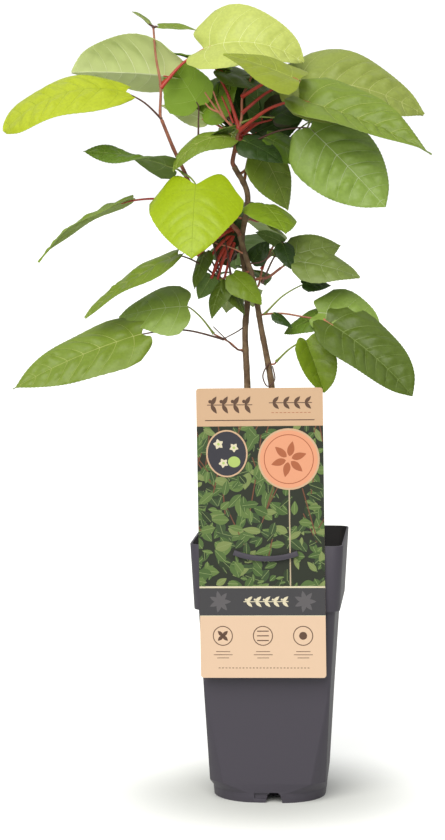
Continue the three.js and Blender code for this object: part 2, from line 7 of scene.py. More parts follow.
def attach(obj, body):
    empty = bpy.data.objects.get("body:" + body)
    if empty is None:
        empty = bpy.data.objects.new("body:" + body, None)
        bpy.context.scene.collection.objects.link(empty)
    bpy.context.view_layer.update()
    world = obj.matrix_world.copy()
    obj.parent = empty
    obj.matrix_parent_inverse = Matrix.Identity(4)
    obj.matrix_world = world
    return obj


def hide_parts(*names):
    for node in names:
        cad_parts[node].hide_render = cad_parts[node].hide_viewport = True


# A young kiwi vine in a square nursery pot. Sizes are in millimetres until a mesh is made.
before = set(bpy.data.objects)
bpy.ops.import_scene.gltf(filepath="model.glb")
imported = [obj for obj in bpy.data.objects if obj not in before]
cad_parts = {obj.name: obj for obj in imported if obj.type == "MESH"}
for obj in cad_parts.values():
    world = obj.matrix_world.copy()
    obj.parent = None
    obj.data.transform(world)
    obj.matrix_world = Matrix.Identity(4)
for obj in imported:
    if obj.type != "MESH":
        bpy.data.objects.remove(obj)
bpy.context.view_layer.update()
bodyName = "root"
millimetre = 0.001

# Small tools


# The sRGB curve, from a colour as "#rrggbb" to linear values
def toLinear(hexColour):
    values = []
    for start in (1, 3, 5):
        share = int(hexColour[start:start + 2], 16) / 255
        values.append(share / 12.92 if share <= 0.04045 else ((share + 0.055) / 1.055) ** 2.4)
    return (*values, 1)


def addNode(tree, kind, settings=(), links=()):
    node = tree.nodes.new(kind)
    for name, value in dict(settings).items():
        if isinstance(name, str) and hasattr(node, name):
            setattr(node, name, value)
        else:
            node.inputs[name].default_value = value
    for name, source in dict(links).items():
        tree.links.new(source, node.inputs[name])
    return node


mottle = dict(low=0.35, high=0.65, detail=3)  # where the noise of a mottled colour turns over


# A second colour is mottled in at patches of a size, and a grain of a size stands out by a
# relief, all in millimetres.
def surface(name, colour, roughness, second=None, patch=10, grain=0, relief=0, detail=2, shine=0.5):
    material = bpy.data.materials.new(name)
    material.use_nodes = True
    tree = material.node_tree
    shader = tree.nodes["Principled BSDF"]
    shader.inputs["Base Color"].default_value = toLinear(colour)
    shader.inputs["Roughness"].default_value = roughness
    shader.inputs["Specular IOR Level"].default_value = shine
    place = addNode(tree, "ShaderNodeTexCoord")
    if second:
        noise = addNode(tree, "ShaderNodeTexNoise",
                        {"Scale": 1 / (patch * millimetre), "Detail": mottle["detail"]},
                        {"Vector": place.outputs["Object"]})
        spread = addNode(tree, "ShaderNodeMapRange", {"From Min": mottle["low"], "From Max": mottle["high"]},
                         {"Value": noise.outputs["Fac"]})
        mixed = addNode(tree, "ShaderNodeMix",
                        {"data_type": "RGBA", 6: toLinear(colour), 7: toLinear(second)},
                        {0: spread.outputs["Result"]})
        tree.links.new(mixed.outputs[2], shader.inputs["Base Color"])
    if relief:
        fine = addNode(tree, "ShaderNodeTexNoise", {"Scale": 1 / (grain * millimetre), "Detail": detail},
                       {"Vector": place.outputs["Object"]})
        bump = addNode(tree, "ShaderNodeBump", {"Strength": 1, "Distance": relief * millimetre},
                       {"Height": fine.outputs["Fac"]})
        tree.links.new(bump.outputs["Normal"], shader.inputs["Normal"])
    return material


randomRule = dict(factor=1664525, step=1013904223, size=2 ** 32)


def seededNumbers(seed):
    state = [seed]

    def draw(low, high):
        state[0] = (state[0] * randomRule["factor"] + randomRule["step"]) % randomRule["size"]
        return low + (high - low) * state[0] / randomRule["size"]

    return draw


def addObject(name, data):
    made = bpy.data.objects.new(name, data)
    bpy.context.scene.collection.objects.link(made)
    return made


def meshFrom(name, points, faces, edges=()):
    mesh = bpy.data.meshes.new(name)
    mesh.from_pydata((np.asarray(points) * millimetre).tolist(), list(edges), faces)
    return mesh


# The mesh that an object's modifiers make. The object is taken away.
def finalMesh(made):
    mesh = bpy.data.meshes.new_from_object(made.evaluated_get(bpy.context.evaluated_depsgraph_get()))
    bpy.data.objects.remove(made)
    return mesh


# A skin is (points, faces, material of each face), so that skins can be joined before a mesh is made.
def joinSkins(skins):
    points = []
    faces = []
    kinds = []
    start = 0
    for skinPoints, skinFaces, skinKinds in skins:
        points.append(np.asarray(skinPoints, float))
        faces.extend([tuple(start + corner for corner in face) for face in skinFaces])
        kinds.extend(skinKinds)
        start += len(skinPoints)
    return np.concatenate(points), faces, kinds


def finishPiece(name, mesh, replaced=()):
    piece = addObject(name, mesh)
    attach(piece, bodyName)
    if replaced:
        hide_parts(*replaced)


def makePiece(name, skins, sharpFrom, replaced=()):
    points, faces, kinds = joinSkins(skins)
    mesh = meshFrom(name, points, faces)
    names = sorted(set(kinds))
    for kind in names:
        mesh.materials.append(bpy.data.materials[kind])
    mesh.polygons.foreach_set("material_index", [names.index(kind) for kind in kinds])
    mesh.polygons.foreach_set("use_smooth", [True] * len(faces))
    mesh.set_sharp_from_angle(angle=math.radians(sharpFrom))
    mesh.update()
    finishPiece(name, mesh, replaced)


# A skin over rings of equal count, closed at both ends
def skinOver(rings, kind):
    count = len(rings[0])
    last = (len(rings) - 1) * count
    faces = []
    for start in range(0, last, count):
        for i in range(count):
            a = start + i
            b = start + (i + 1) % count
            faces.append((a, b, b + count, a + count))
    faces.append(tuple(range(count))[::-1])
    faces.append(tuple(range(last, last + count)))
    return np.concatenate(rings), faces, [kind] * len(faces)


# Grows a mesh by Geometry Nodes of one material and gives its skin. The group's own inputs are
# {name: (socket, value)}, and build takes the tree and the entry's sockets.
def grownSkin(name, mesh, inputs, kind, build):
    source = addObject(name, mesh)
    tree = bpy.data.node_groups.new(name, "GeometryNodeTree")
    tree.is_modifier = True
    tree.interface.new_socket("Geometry", in_out="INPUT", socket_type="NodeSocketGeometry")
    sockets = [tree.interface.new_socket(key, in_out="INPUT", socket_type=socket)
               for key, (socket, value) in inputs.items()]
    tree.interface.new_socket("Geometry", in_out="OUTPUT", socket_type="NodeSocketGeometry")
    made = build(tree, addNode(tree, "NodeGroupInput").outputs)
    whole = addNode(tree, "GeometryNodeRealizeInstances", (), {"Geometry": made})
    painted = addNode(tree, "GeometryNodeSetMaterial", {"Material": bpy.data.materials[kind]},
                      {"Geometry": whole.outputs["Geometry"]})
    addNode(tree, "NodeGroupOutput", (), {"Geometry": painted.outputs["Geometry"]})
    modifier = source.modifiers.new(name, "NODES")
    modifier.node_group = tree
    for socket, (_, value) in zip(sockets, inputs.values()):
        modifier[socket.identifier] = value
    grown = finalMesh(source)
    points = np.zeros(len(grown.vertices) * 3)
    grown.vertices.foreach_get("co", points)
    faces = [tuple(face.vertices) for face in grown.polygons]
    return points.reshape(-1, 3) / millimetre, faces, [kind] * len(faces)


# Paths and the seeded growth rule


def polar(step):
    length, heading, rise = step
    level = length * math.cos(math.radians(rise))
    turn = math.radians(heading)
    return np.array([level * math.cos(turn), level * math.sin(turn), length * math.sin(math.radians(rise))])


# A curve through points, whose knots are spaced by the square root of the points' distances
class SmoothPath:
    divisions = 200
    least = 1e-4

    def __init__(self, points):
        self.points = [np.array(point, float) for point in points]
        self.table = None

    def at(self, share):
        points = self.points
        last = len(points) - 1
        place = last * share
        index = int(math.floor(place))
        weight = place - index
        if index >= last:
            index = last - 1
            weight = 1.0
        before = points[index - 1] if index > 0 else 2 * points[0] - points[1]
        start = points[index]
        end = points[index + 1]
        after = points[index + 2] if index + 2 <= last else 2 * points[-1] - points[-2]
        parts = ((before, start), (start, end), (end, after))
        gaps = [math.sqrt(float(np.linalg.norm(b - a))) for a, b in parts]
        if gaps[1] < self.least:
            gaps[1] = 1.0
        for i in (0, 2):
            if gaps[i] < self.least:
                gaps[i] = gaps[1]
        leave = (start - before) / gaps[0] - (end - before) / (gaps[0] + gaps[1]) + (end - start) / gaps[1]
        arrive = (end - start) / gaps[1] - (after - start) / (gaps[1] + gaps[2]) + (after - end) / gaps[2]
        leave = leave * gaps[1]
        arrive = arrive * gaps[1]
        square = -3 * start + 3 * end - 2 * leave - arrive
        cube = 2 * start - 2 * end + leave + arrive
        return start + weight * (leave + weight * (square + weight * cube))

    def lengths(self):
        if self.table is None:
            marks = np.array([self.at(i / self.divisions) for i in range(self.divisions + 1)])
            steps = np.linalg.norm(np.diff(marks, axis=0), axis=1)
            self.table = np.concatenate([[0], np.cumsum(steps)])
        return self.table

    def length(self):
        return float(self.lengths()[-1])

    def placeAt(self, share):
        table = self.lengths()
        return float(np.interp(share * table[-1], table, np.linspace(0, 1, self.divisions + 1)))

    def atLength(self, share):
        return self.at(self.placeAt(share))

    def headingAt(self, share):
        place = self.placeAt(share)
        way = self.at(min(place + self.least, 1.0)) - self.at(max(place - self.least, 0.0))
        return way / np.linalg.norm(way)

    def spaced(self, count):
        return np.array([self.atLength(i / count) for i in range(count + 1)])


clearance = 0.3  # the air between parts
firstStep = 3  # how far a branch leaves its limb straight
flareLength = 9
soilTop = 197

limbs = {
    "stem_left": dict(
        points=[(-24, 2, soilTop + clearance), (-22, 1, 280), (-21, 0, 354), (-23, 0, 401), (-21, 2, 435),
                (-26, 3, 478), (-21, -1, 520), (-32, -4, 543)],
        thickness=(6.2, 4.4), flare=3),
    "stem_right": dict(
        points=[(5, 3, soilTop + clearance), (3, 0, 290), (0, -1, 355), (-5, -2, 385), (-8.5, -3, 403),
                (-12, -4, 424), (-16, -5, 447), (-22, -7, 467), (-27, -9, 484)],
        thickness=(6.6, 4.2), flare=3.2),
    "bough_top": dict(
        limb="stem_left", points=[(-31.8, -5, 556), (-30, -4.6, 565)], thickness=(3.8, 3), flare=0),
    "bough_left": dict(
        limb="stem_right", points=[(-46, -11, 505), (-69, -11, 528), (-75, -11, 540), (-84, -15, 560),
                                   (-93, -15, 582)],
        thickness=(3.8, 2.8), flare=0),
    "side_shoot_right": dict(
        limb="stem_right", height=446, side=0, points=[(-4, -5, 448), (8, -4, 456.5)],
        thickness=(2.4, 2), flare=0),
}

plainPose = dict(twist=0, fall=0.9, lobe=0.05)


# The seeded rule reads the values named here. The finished blade may differ a little: fuller near
# its stalk with a low rise and before its tip with a low fineFall, moved by a shift, more quilted,
# with another sweep of its veins, on a thicker stalk, or with better values of its pose.
def leafPose(at, stalk, chord, roll, arch, fold, width, look, stalkLook, **fine):
    return dict(dict(plainPose, **fine), at=at, reach=stalk, chord=chord, roll=roll, arch=arch, fold=fold,
                width=width, look=look, stalkLook=stalkLook)


# Stalks leave a mass's stem at a step number. Each has a stalk and a blade as length, heading, rise.
masses = {
    "leaves_left_top": dict(
        limb="bough_left", thickness=(2.6, 1.8),
        steps=[(30, 180, 88), (24, 165, 80), (25, 150, 84)],
        leaves=[
            leafPose(0.03, (38, 193, 36), (116, 188, -18), -28, 72, 6, 0.6, "lime", "dark", fall=0.65,
                     fineFall=0.45),
            leafPose(1, (12, 34, 38), (90, 171, 3), 42, 12, 31, 0.9, "silver", "red", lobe=0.1,
                     shift=(0, 9, 0), fineFall=0.68),
            leafPose(3, (5, 200, 50), (24, 166, 38), 40, 30, 20, 0.5, "mid", "dark", shift=(1, 0, -2),
                     better=dict(chord=(21, 166, 34), width=0.32)),
            leafPose(3, (5, 0, 40), (32, 4, -5), 22, 12, 20, 0.36, "mid", "dark", shift=(1, 0, -3),
                     better=dict(width=0.55)),
            leafPose(0.9, (48, 18, 35), (92, 0, -3), 46, 76, 23, 0.92, "pale", "red", lobe=0.1,
                     shift=(-2, 0, 6), better=dict(chord=(93, 0, -8)), rise=0.26, fineFall=0.8, thick=1.3),
        ],
    ),
    "leaves_left_shoot": dict(
        limb="bough_left", height=534, side=262, thickness=(1.8, 1.6),
        steps=[(8, 262, 18)],
        leaves=[
            leafPose(1, (24, 306, -24), (80, 271, -54), 3, 24, -4, 1, "fresh", "green", lobe=0.12,
                     rise=0.22, fineFall=0.82, sweep=0.5, quilt=0.009, shift=(-1, 0, 1),
                     better=dict(chord=(76, 271, -54), width=1.06, lobe=0.2)),
            leafPose(1, (10, 168, -6), (78, 187, 10), -10, 20, 4, 0.58, "moss", "green", twist=-100,
                     shift=(0, 0, 7)),
        ],
    ),
    "leaves_left_arm": dict(
        limb="stem_left", height=498, side=172, thickness=(2, 1.6),
        steps=[(22, 172, 14), (26, 178, 10)],
        leaves=[
            leafPose(2, (52, 176, 6), (97, 187, -34), 0, 36, 8, 0.5, "light", "red", better=dict(roll=7)),
        ],
    ),
    "leaves_crown_top": dict(
        limb="bough_top", thickness=(2.8, 1.8),
        steps=[(20, 25, 77), (18, 60, 86), (14, 40, 60), (14, 20, 70)],
        leaves=[
            leafPose(0.4, (70, 325, 21), (124, 346, -22), 30, 20, 25, 0.6, "mid", "red", fall=1.1,
                     thick=1.5, quilt=0.02),
            leafPose(1.2, (50, 8, 32), (120, 3, -14), 45, 50, 8, 0.78, "soft", "red", thick=1.3, quilt=0.022),
            leafPose(2, (77, 303, 5), (64, 176, 28), -22, 12, 6, 0.75, "yellow", "red", fineFall=0.8,
                     shift=(10, 0, 4), better=dict(chord=(67, 176, 19), width=1), rise=0.14, thick=1.35),
            leafPose(0.45, (15, 244, -27), (64, 197, -30), -25, 88, 4, 0.56, "mid", "green"),
            leafPose(0.5, (58, 160, 66), (44, 160, 4), 8, 20, 12, 0.5, "moss", "red", thick=1.35),
            leafPose(0.45, (55, 160, 68), (64, 12, -20), 30, 20, 8, 0.6, "forest", "red", thick=1.4),
            leafPose(0.55, (46, 146, 24), (37, 176, 44), 50, 20, 0, 1, "moss", "dark"),
            leafPose(0.75, (30, 356, 10), (52, 13, 23), 30, 20, 0, 0.7, "dark", "green"),
        ],
    ),
    "leaves_crown_right": dict(
        limb="bough_top", height=556, side=345, thickness=(2, 1.8),
        steps=[(12, 345, 30)],
        leaves=[
            leafPose(1, (58, 333, 10), (95, 341, -44), 56, 14, 30, 0.82, "deep", "dark", fall=0.78,
                     quilt=0.024, fineFall=0.7, shift=(3, 0, 3), better=dict(fold=2, width=0.75)),
            leafPose(1, (17, 0, 20), (48, 9, -33), 40, 20, 6, 0.8, "moss", "green"),
            leafPose(0.4, (12, 281, 36), (42, 343, -28), 35, 24, 4, 0.75, "dark", "green"),
            leafPose(1, (19, 58, -12), (58, 21, -65), 60, 16, 4, 0.9, "mid", "green"),
        ],
    ),
    "leaf_front_mid": dict(
        limb="stem_left", height=508, side=280, thickness=(1.8, 1.6),
        steps=[(7, 285, 5)],
        leaves=[
            leafPose(1, (14, 340, 10), (50, 299, -29), -6, 24, 2, 1, "light", "green"),
        ],
    ),
    "leaves_core": dict(
        limb="stem_right", height=454, side=225, thickness=(2.2, 1.8),
        steps=[(15, 215, -10), (12, 190, -18)],
        leaves=[
            leafPose(2, (42, 174, 29), (97, 186, -34), -15, 24, 10, 0.52, "mid", "dark"),
            leafPose(2, (27, 163, 60), (34, 220, -70), 0, 20, 0, 0.7, "forest", "dark"),
            leafPose(2, (5, 307, -17), (34, 225, -68), 0, 20, 0, 0.8, "forest", "green"),
            leafPose(1.3, (5, 230, -40), (34, 352, -62), 20, 20, 0, 0.75, "forest", "green"),
            leafPose(1, (8, 270, 5), (36, 350, -45), 40, 20, 0, 0.8, "leafy", "green"),
            leafPose(2, (34, 190, 78), (46, 150, 10), 0, 30, 4, 0.7, "dark", "dark"),
            leafPose(1.2, (36, 140, 76), (46, 110, 14), 0, 30, 4, 0.7, "dark", "dark"),
        ],
    ),
    "leaves_left_low": dict(
        limb="stem_left", height=386, side=182, thickness=(1.8, 1.4),
        steps=[(12, 178, 30), (16, 182, 28)],
        leaves=[
            leafPose(2, (33, 180, 46), (62, 174, -10), -48, 24, 4, 0.9, "clear", "green", rise=0.28),
            leafPose(1.4, (71, 190, 4), (121, 189, -23), -42, 20, 6, 0.5, "mid", "dark", fall=0.85),
        ],
    ),
    "leaves_right_mid": dict(
        limb="side_shoot_right", thickness=(1.8, 1.6),
        steps=[(6, 0, 30)],
        leaves=[
            leafPose(1, (8, 326, 64), (46, 19, 11), 50, 24, 4, 0.9, "grey", "green", quilt=0.024),
            leafPose(1, (11, 326, 13), (56, 356, -14), 40, 24, 6, 0.75, "grey", "dark", quilt=0.024),
            leafPose(0.6, (19, 240, 80), (24, 317, -64), 20, 20, 0, 0.8, "dark", "green"),
        ],
    ),
    "leaves_right_low": dict(
        limb="stem_right", height=416, side=350, thickness=(1.8, 1.4),
        steps=[(18, 350, 4), (18, 352, -8), (18, 352, -8)],
        leaves=[
            leafPose(0.1, (42, 2, 38), (26, 22, -3), 45, 20, 4, 0.6, "dark", "green"),
            leafPose(3, (8, 140, 46), (56, 5, -14), 56, 44, 8, 1, "deep", "green", fall=0.7, lobe=0.1,
                     quilt=0.02),
            leafPose(3, (5, 297, -10), (100, 346, -39), 35, 30, 20, 0.66, "forest", "pink", fall=0.65,
                     quilt=0.02),
            leafPose(3, (7, 100, 35), (38, 169, -27), -40, 20, 4, 0.75, "moss", "green"),
            leafPose(0.6, (5, 270, 0), (20, 345, -35), 30, 10, 0, 0.6, "dark", "green"),
        ],
    ),
    "leaf_right_foot": dict(
        limb="stem_right", height=373, side=350, thickness=(1.6, 1.4),
        steps=[(5, 340, 30)],
        leaves=[
            leafPose(1, (34, 338, 34), (48, 330, -67), 35, 14, 40, 0.95, "leafy", "green", fall=0.6),
        ],
    ),
    "leaves_back_top": dict(
        limb="stem_left", height=530, side=80, thickness=(2.8, 1.8),
        steps=[(26, 80, 50), (26, 70, 45), (22, 95, 40)],
        filler=dict(seed=11, count=8, heading=(20, 165), length=(60, 98),
                    space=[(-72, 60), (8, 165), (556, 630)]),
    ),
    "leaves_back_mid": dict(
        limb="stem_left", height=468, side=100, thickness=(2.6, 1.8),
        steps=[(32, 105, 30), (30, 88, 22)],
        filler=dict(seed=23, count=7, heading=(35, 175), length=(56, 95),
                    space=[(-100, 12), (8, 165), (438, 516)]),
    ),
    "leaves_back_low": dict(
        limb="stem_left", height=422, side=120, thickness=(2.2, 1.6),
        steps=[(26, 125, 24), (20, 110, 18)],
        filler=dict(seed=37, count=4, heading=(60, 175), length=(46, 76),
                    space=[(-78, -2), (8, 135), (398, 470)]),
    ),
    "leaves_back_right": dict(
        limb="stem_left", height=536, side=45, thickness=(2.6, 1.6),
        steps=[(30, 55, 26), (28, 45, 24), (26, 25, 20)],
        filler=dict(seed=41, count=6, heading=(-15, 95), length=(52, 88),
                    space=[(-8, 104), (20, 165), (540, 616)]),
    ),
    "leaves_back_foot": dict(
        limb="stem_right", height=440, side=60, thickness=(2, 1.6),
        steps=[(26, 70, 50), (22, 60, 45)],
        filler=dict(seed=53, count=4, heading=(30, 140), length=(46, 76),
                    space=[(-46, 26), (8, 140), (456, 550)]),
    ),
}


heightSteps = 30


# Where along a rising path a height is reached, found by halving
def shareAtHeight(path, height):
    low = 0.0
    high = 1.0
    for _ in range(heightSteps):
        middle = (low + high) / 2
        if path.atLength(middle)[2] < height:
            low = middle
        else:
            high = middle
    return low


# The middle of the joint, then the first two points clear of the limb's tip or side
def leavingPoints(limb, height, side):
    share = 1.0 if height is None else shareAtHeight(limb["path"], height)
    along = limb["path"].headingAt(share)
    out = along.copy()
    reach = clearance
    if side is not None:
        out = polar((1, side, 0))
        out = out - along * float(out @ along)
        out = out / np.linalg.norm(out)
        reach += limb["radiusAt"](share)
    joint = limb["path"].atLength(share)
    return joint, [joint + out * distance for distance in (reach, reach + firstStep)], share


limbShapes = {}
for limbName, limb in limbs.items():
    start = []
    joint = None
    if "limb" in limb:
        joint, start, share = leavingPoints(limbShapes[limb["limb"]], limb.get("height"), limb.get("side"))
        limbShapes[limb["limb"]]["nodes"].append(share)
    path = SmoothPath(start + limb["points"])

    def radiusAt(along, limb=limb, length=path.length()):
        thick, thin = limb["thickness"]
        return (thick + (thin - thick) * along) / 2 + limb["flare"] * math.exp(-along * length / flareLength)

    limbShapes[limbName] = dict(path=path, radiusAt=radiusAt, joint=joint, nodes=[])

growth = dict(
    droop=0.22, waveShare=0.012, waves=1.6, waveLean=0.3, phaseStep=0.37, lobeLength=4, lobeWidth=1.3,
    outlineRise=0.5, outlineStart=0.04, narrowest=0.02, bow=0.08, run=0.08, under=(0.4, 0.2),
)
fillerGap = dict(blade=7, stem=7, pointsAlong=10, pointsAcross=3, stalkPoints=12, stalkStart=3, stemStep=5)
fillerRange = dict(
    at=(0.35, 1), stalkLength=(16, 44), stalkTurn=(-25, 25), stalkRise=(-5, 45), turn=(-20, 20),
    rise=(-42, 2), roll=(-28, 28), arch=(18, 42), fold=(0, 16), width=(0.62, 0.8),
)
fillerTries = 600


def outlineAt(t, fall, rise=growth["outlineRise"]):
    start = growth["outlineStart"]
    widest = (rise - fall * start) / (rise + fall)
    highest = (widest + start) ** rise * (1 - widest) ** fall
    return np.maximum(growth["narrowest"], (t + start) ** rise * (1 - t) ** fall / highest)


# Points of a blade: t runs from its stalk to its tip, u from its right edge (-1) to its left
# edge (1), height is above its middle surface, and reach is what its edge is stretched by.
def onBlade(blade, t, u, height=0.0, reach=None):
    t = np.asarray(t, float)
    u = np.asarray(u, float)
    length, heading, rise = blade["chord"]
    bend = math.radians(max(blade["arch"], 1))
    radius = length / bend
    slope = (bend * (0.5 - t))[:, None]
    forward = polar((1, heading, rise))
    level = np.array([-math.sin(math.radians(heading)), math.cos(math.radians(heading)), 0])
    upright = np.cross(forward, level)
    turn = np.radians(blade["roll"] + blade["twist"] * (t - 0.5))[:, None]
    side = np.cos(turn) * level + np.sin(turn) * upright
    face = np.cos(turn) * upright - np.sin(turn) * level
    along = np.cos(slope) * forward + np.sin(slope) * face
    normal = np.cos(slope) * face - np.sin(slope) * forward
    half = length * blade["width"] / 2
    fold = math.radians(blade["fold"])
    if reach is None:
        reach = outlineAt(t, blade["fall"])
    out = np.abs(u) * half * reach
    lobeSide = np.sin(np.pi * np.abs(u) ** growth["lobeWidth"])
    lobe = blade["lobe"] * length * (1 - t) ** growth["lobeLength"] * lobeSide
    turns = growth["waves"] * t + blade["phase"] + growth["waveLean"] * u
    wave = growth["waveShare"] * length * u * u * np.sin(2 * np.pi * turns)
    lift = out * math.sin(fold) - growth["droop"] * out * out / half + wave + height
    return (blade["base"] + forward * (radius * (math.sin(bend / 2) - np.sin(slope)))
            + face * (radius * (np.cos(slope) - math.cos(bend / 2))) - along * lobe[:, None]
            + side * (np.sign(u) * out * math.cos(fold))[:, None] + normal * lift[:, None])


across = np.arange(-fillerGap["pointsAcross"], fillerGap["pointsAcross"] + 1) / fillerGap["pointsAcross"]
along = np.arange(fillerGap["pointsAlong"] + 1) / fillerGap["pointsAlong"]
gridRows = np.repeat(along, len(across))
gridColumns = np.tile(across, len(along))


def placeBlade(pose, phase, foot, reach):
    blade = dict(pose, phase=phase, base=foot + reach, foot=foot)
    middle = foot + reach / 2
    middle[2] += growth["bow"] * pose["reach"][0]
    under = [onBlade(blade, [t], [0], -height)[0]
             for t, height in zip((0, growth["run"]), growth["under"])]
    blade["stalk"] = SmoothPath([foot, middle] + under)
    blade["grid"] = onBlade(blade, gridRows, gridColumns)
    return blade


def makeBlade(marks, steps, pose, phase):
    return placeBlade(pose, phase, marks.at(pose["at"] / steps), polar(pose["reach"]))


def testPoints(blade):
    count = fillerGap["stalkPoints"]
    stalk = [blade["stalk"].at(i / count) for i in range(fillerGap["stalkStart"], count + 1)]
    return np.concatenate([stalk, blade["grid"]])


def massStem(mass):
    joint, points, share = leavingPoints(limbShapes[mass["limb"]], mass.get("height"), mass.get("side"))
    limbShapes[mass["limb"]]["nodes"].append(share)
    marks = [points[0]]
    for step in mass["steps"]:
        marks.append(marks[-1] + polar(step))
    return dict(path=SmoothPath(points + marks[1:]), marks=SmoothPath(marks), joint=joint)


def isNear(points, others, gap):
    if len(others) == 0:
        return False
    squares = (points ** 2).sum(1)[:, None] + (others ** 2).sum(1)[None] - 2 * points @ others.T
    return bool(squares.min() < gap * gap)


def insideSpace(points, space):
    low, high = np.array(space, float).T
    return bool((points >= low).all() and (points <= high).all())


fillerLooks = ("mid", "green", "forest", "mid", "moss", "green")
redStalkEvery = 3


# Draws filler blades one by one, and skips each that leaves the mass's space or comes near a
# limb, another mass's stem or any blade.
def growFiller(mass, stem, placed, stemPoints):
    filler = mass["filler"]
    draw = seededNumbers(filler["seed"])
    steps = len(mass["steps"])
    grown = []
    others = np.concatenate(placed)
    for _ in range(fillerTries * filler["count"]):
        if len(grown) == filler["count"]:
            break
        facing = draw(*filler["heading"])
        pose = dict(at=draw(*fillerRange["at"]) * steps)
        stalkLength = draw(*fillerRange["stalkLength"])
        stalkTurn = draw(*fillerRange["stalkTurn"])
        pose["reach"] = (stalkLength, facing + stalkTurn, draw(*fillerRange["stalkRise"]))
        length = draw(*filler["length"])
        turn = draw(*fillerRange["turn"])
        pose["chord"] = (length, facing + turn, draw(*fillerRange["rise"]))
        for key in ("roll", "arch", "fold", "width"):
            pose[key] = draw(*fillerRange[key])
        pose.update(plainPose)
        phase = draw(0, 1)
        base = stem["marks"].at(pose["at"] / steps) + polar(pose["reach"])
        if not insideSpace(np.array([base, base + polar(pose["chord"])]), filler["space"]):
            continue
        blade = makeBlade(stem["marks"], steps, pose, phase)
        if not insideSpace(blade["grid"], filler["space"]):
            continue
        points = testPoints(blade)
        if not insideSpace(points, filler["space"]) or isNear(points, others, fillerGap["blade"]):
            continue
        if isNear(points, stemPoints, fillerGap["stem"]):
            continue
        blade["look"] = fillerLooks[len(grown) % len(fillerLooks)]
        blade["stalkLook"] = "green" if len(grown) % redStalkEvery else "red"
        grown.append(blade)
        others = np.concatenate([others, points])
    return grown


def stemPointsOn(path):
    return path.spaced(max(1, int(path.length() / fillerGap["stemStep"] + 0.5)))


limbPoints = np.concatenate([stemPointsOn(shape["path"]) for shape in limbShapes.values()])
stems = {}
blades = {}
for massName, mass in masses.items():
    stems[massName] = massStem(mass)
    blades[massName] = [
        makeBlade(stems[massName]["marks"], len(mass["steps"]), pose, growth["phaseStep"] * i % 1)
        for i, pose in enumerate(mass.get("leaves", []))]
placed = [testPoints(blade) for grown in blades.values() for blade in grown]
for massName, mass in masses.items():
    if "filler" in mass:
        otherStems = [stemPointsOn(stem["path"]) for name, stem in stems.items() if name != massName]
        grown = growFiller(mass, stems[massName], placed, np.concatenate([limbPoints] + otherStems))
        blades[massName].extend(grown)
        placed.extend(testPoints(blade) for blade in grown)
print("blades grown:", {name: len(grown) for name, grown in blades.items()})


def refined(grown):
    shift = np.array(grown.get("shift", (0, 0, 0)), float)
    pose = dict(grown, **grown.get("better", {}))
    return placeBlade(pose, grown["phase"], grown["foot"], grown["base"] - grown["foot"] + shift)


blades["leaves_back_low"][3]["shift"] = (8, 0, 13)  # raised, so that the sky shows beside the stem
blades = {name: [refined(blade) for blade in grown] for name, grown in blades.items()}


# Small leaves inside the crown are given by the foot of the stalk, the blade's foot and its tip.
def innerLeaf(foot, base, tip, roll, arch, fold, width, look, stalkLook, **fine):
    foot = np.array(foot, float)
    reach = np.array(base, float) - foot
    way = np.array(tip, float) - base
    length = float(np.linalg.norm(way))
    chord = (length, math.degrees(math.atan2(way[1], way[0])), math.degrees(math.asin(way[2] / length)))
    stalk = (float(np.linalg.norm(reach)), 0, 0)
    pose = leafPose(0, stalk, chord, roll, arch, fold, width, look, stalkLook, **fine)
    return placeBlade(pose, length * growth["phaseStep"] % 1, foot, reach)


innerLeaves = {
    "leaves_crown_top": [
        innerLeaf((-64, 6, 564), (-64, 10, 595), (-91, 4, 637), 60, 20, -4, 0.96, "bright", "dark", rise=0.3),
        innerLeaf((-31, 4, 567), (-62, 16, 588), (-28, 12, 624), 60, 20, 4, 0.9, "bright", "green", rise=0.3),
        innerLeaf((-37, 6, 570), (-59, 20, 583), (-98, 24, 596), 50, 16, 0, 0.5, "silver", "pink"),
        innerLeaf((-30, -6, 572), (-31, -12, 576), (-58, -20, 564), 20, 24, 4, 0.62, "moss", "green"),
        innerLeaf((-36, 4, 574), (-38, 10, 626), (-91, 6, 640), 12, 20, 4, 0.36, "bright", "green"),
        innerLeaf((-34, 4, 576), (-46, 14, 616), (-6, 6, 618), 12, 30, 4, 0.4, "forest", "green"),
        innerLeaf((-28, 4, 569), (-27, 24, 580), (-40, 16, 630), 90, 16, 4, 0.8, "dark", "red"),
        innerLeaf((-25, 6, 572), (-11, 32, 582), (-16, 24, 632), 90, 16, 4, 0.9, "forest", "red"),
        innerLeaf((-28, 4, 566), (-19, 28, 571), (27, 36, 590), 60, 16, 4, 0.8, "dark", "red"),
        innerLeaf((-26, 6, 570), (-2, 26, 584), (26, 30, 612), 70, 16, 4, 0.8, "umber", "red"),
    ],
    "leaves_core": [
        innerLeaf((-8, -6, 443), (10, 2, 478), (-15, 6, 487), 50, 20, 4, 0.62, "forest", "dark"),
        innerLeaf((-21, 0, 455), (-18, 10, 461), (-3, 12, 479), 60, 20, 4, 0.85, "dark", "dark"),
        innerLeaf((-34, -6, 470), (-50, -20, 450), (-62, -16, 430), 60, 20, 4, 0.8, "forest", "red"),
        innerLeaf((-30, 4, 470), (-40, 8, 476), (-24, 12, 508), 80, 20, 4, 0.6, "dark", "dark"),
        innerLeaf((-30, 4, 470), (-36, 16, 462), (-52, 20, 484), 80, 20, 4, 0.8, "umber", "dark"),
    ],
}
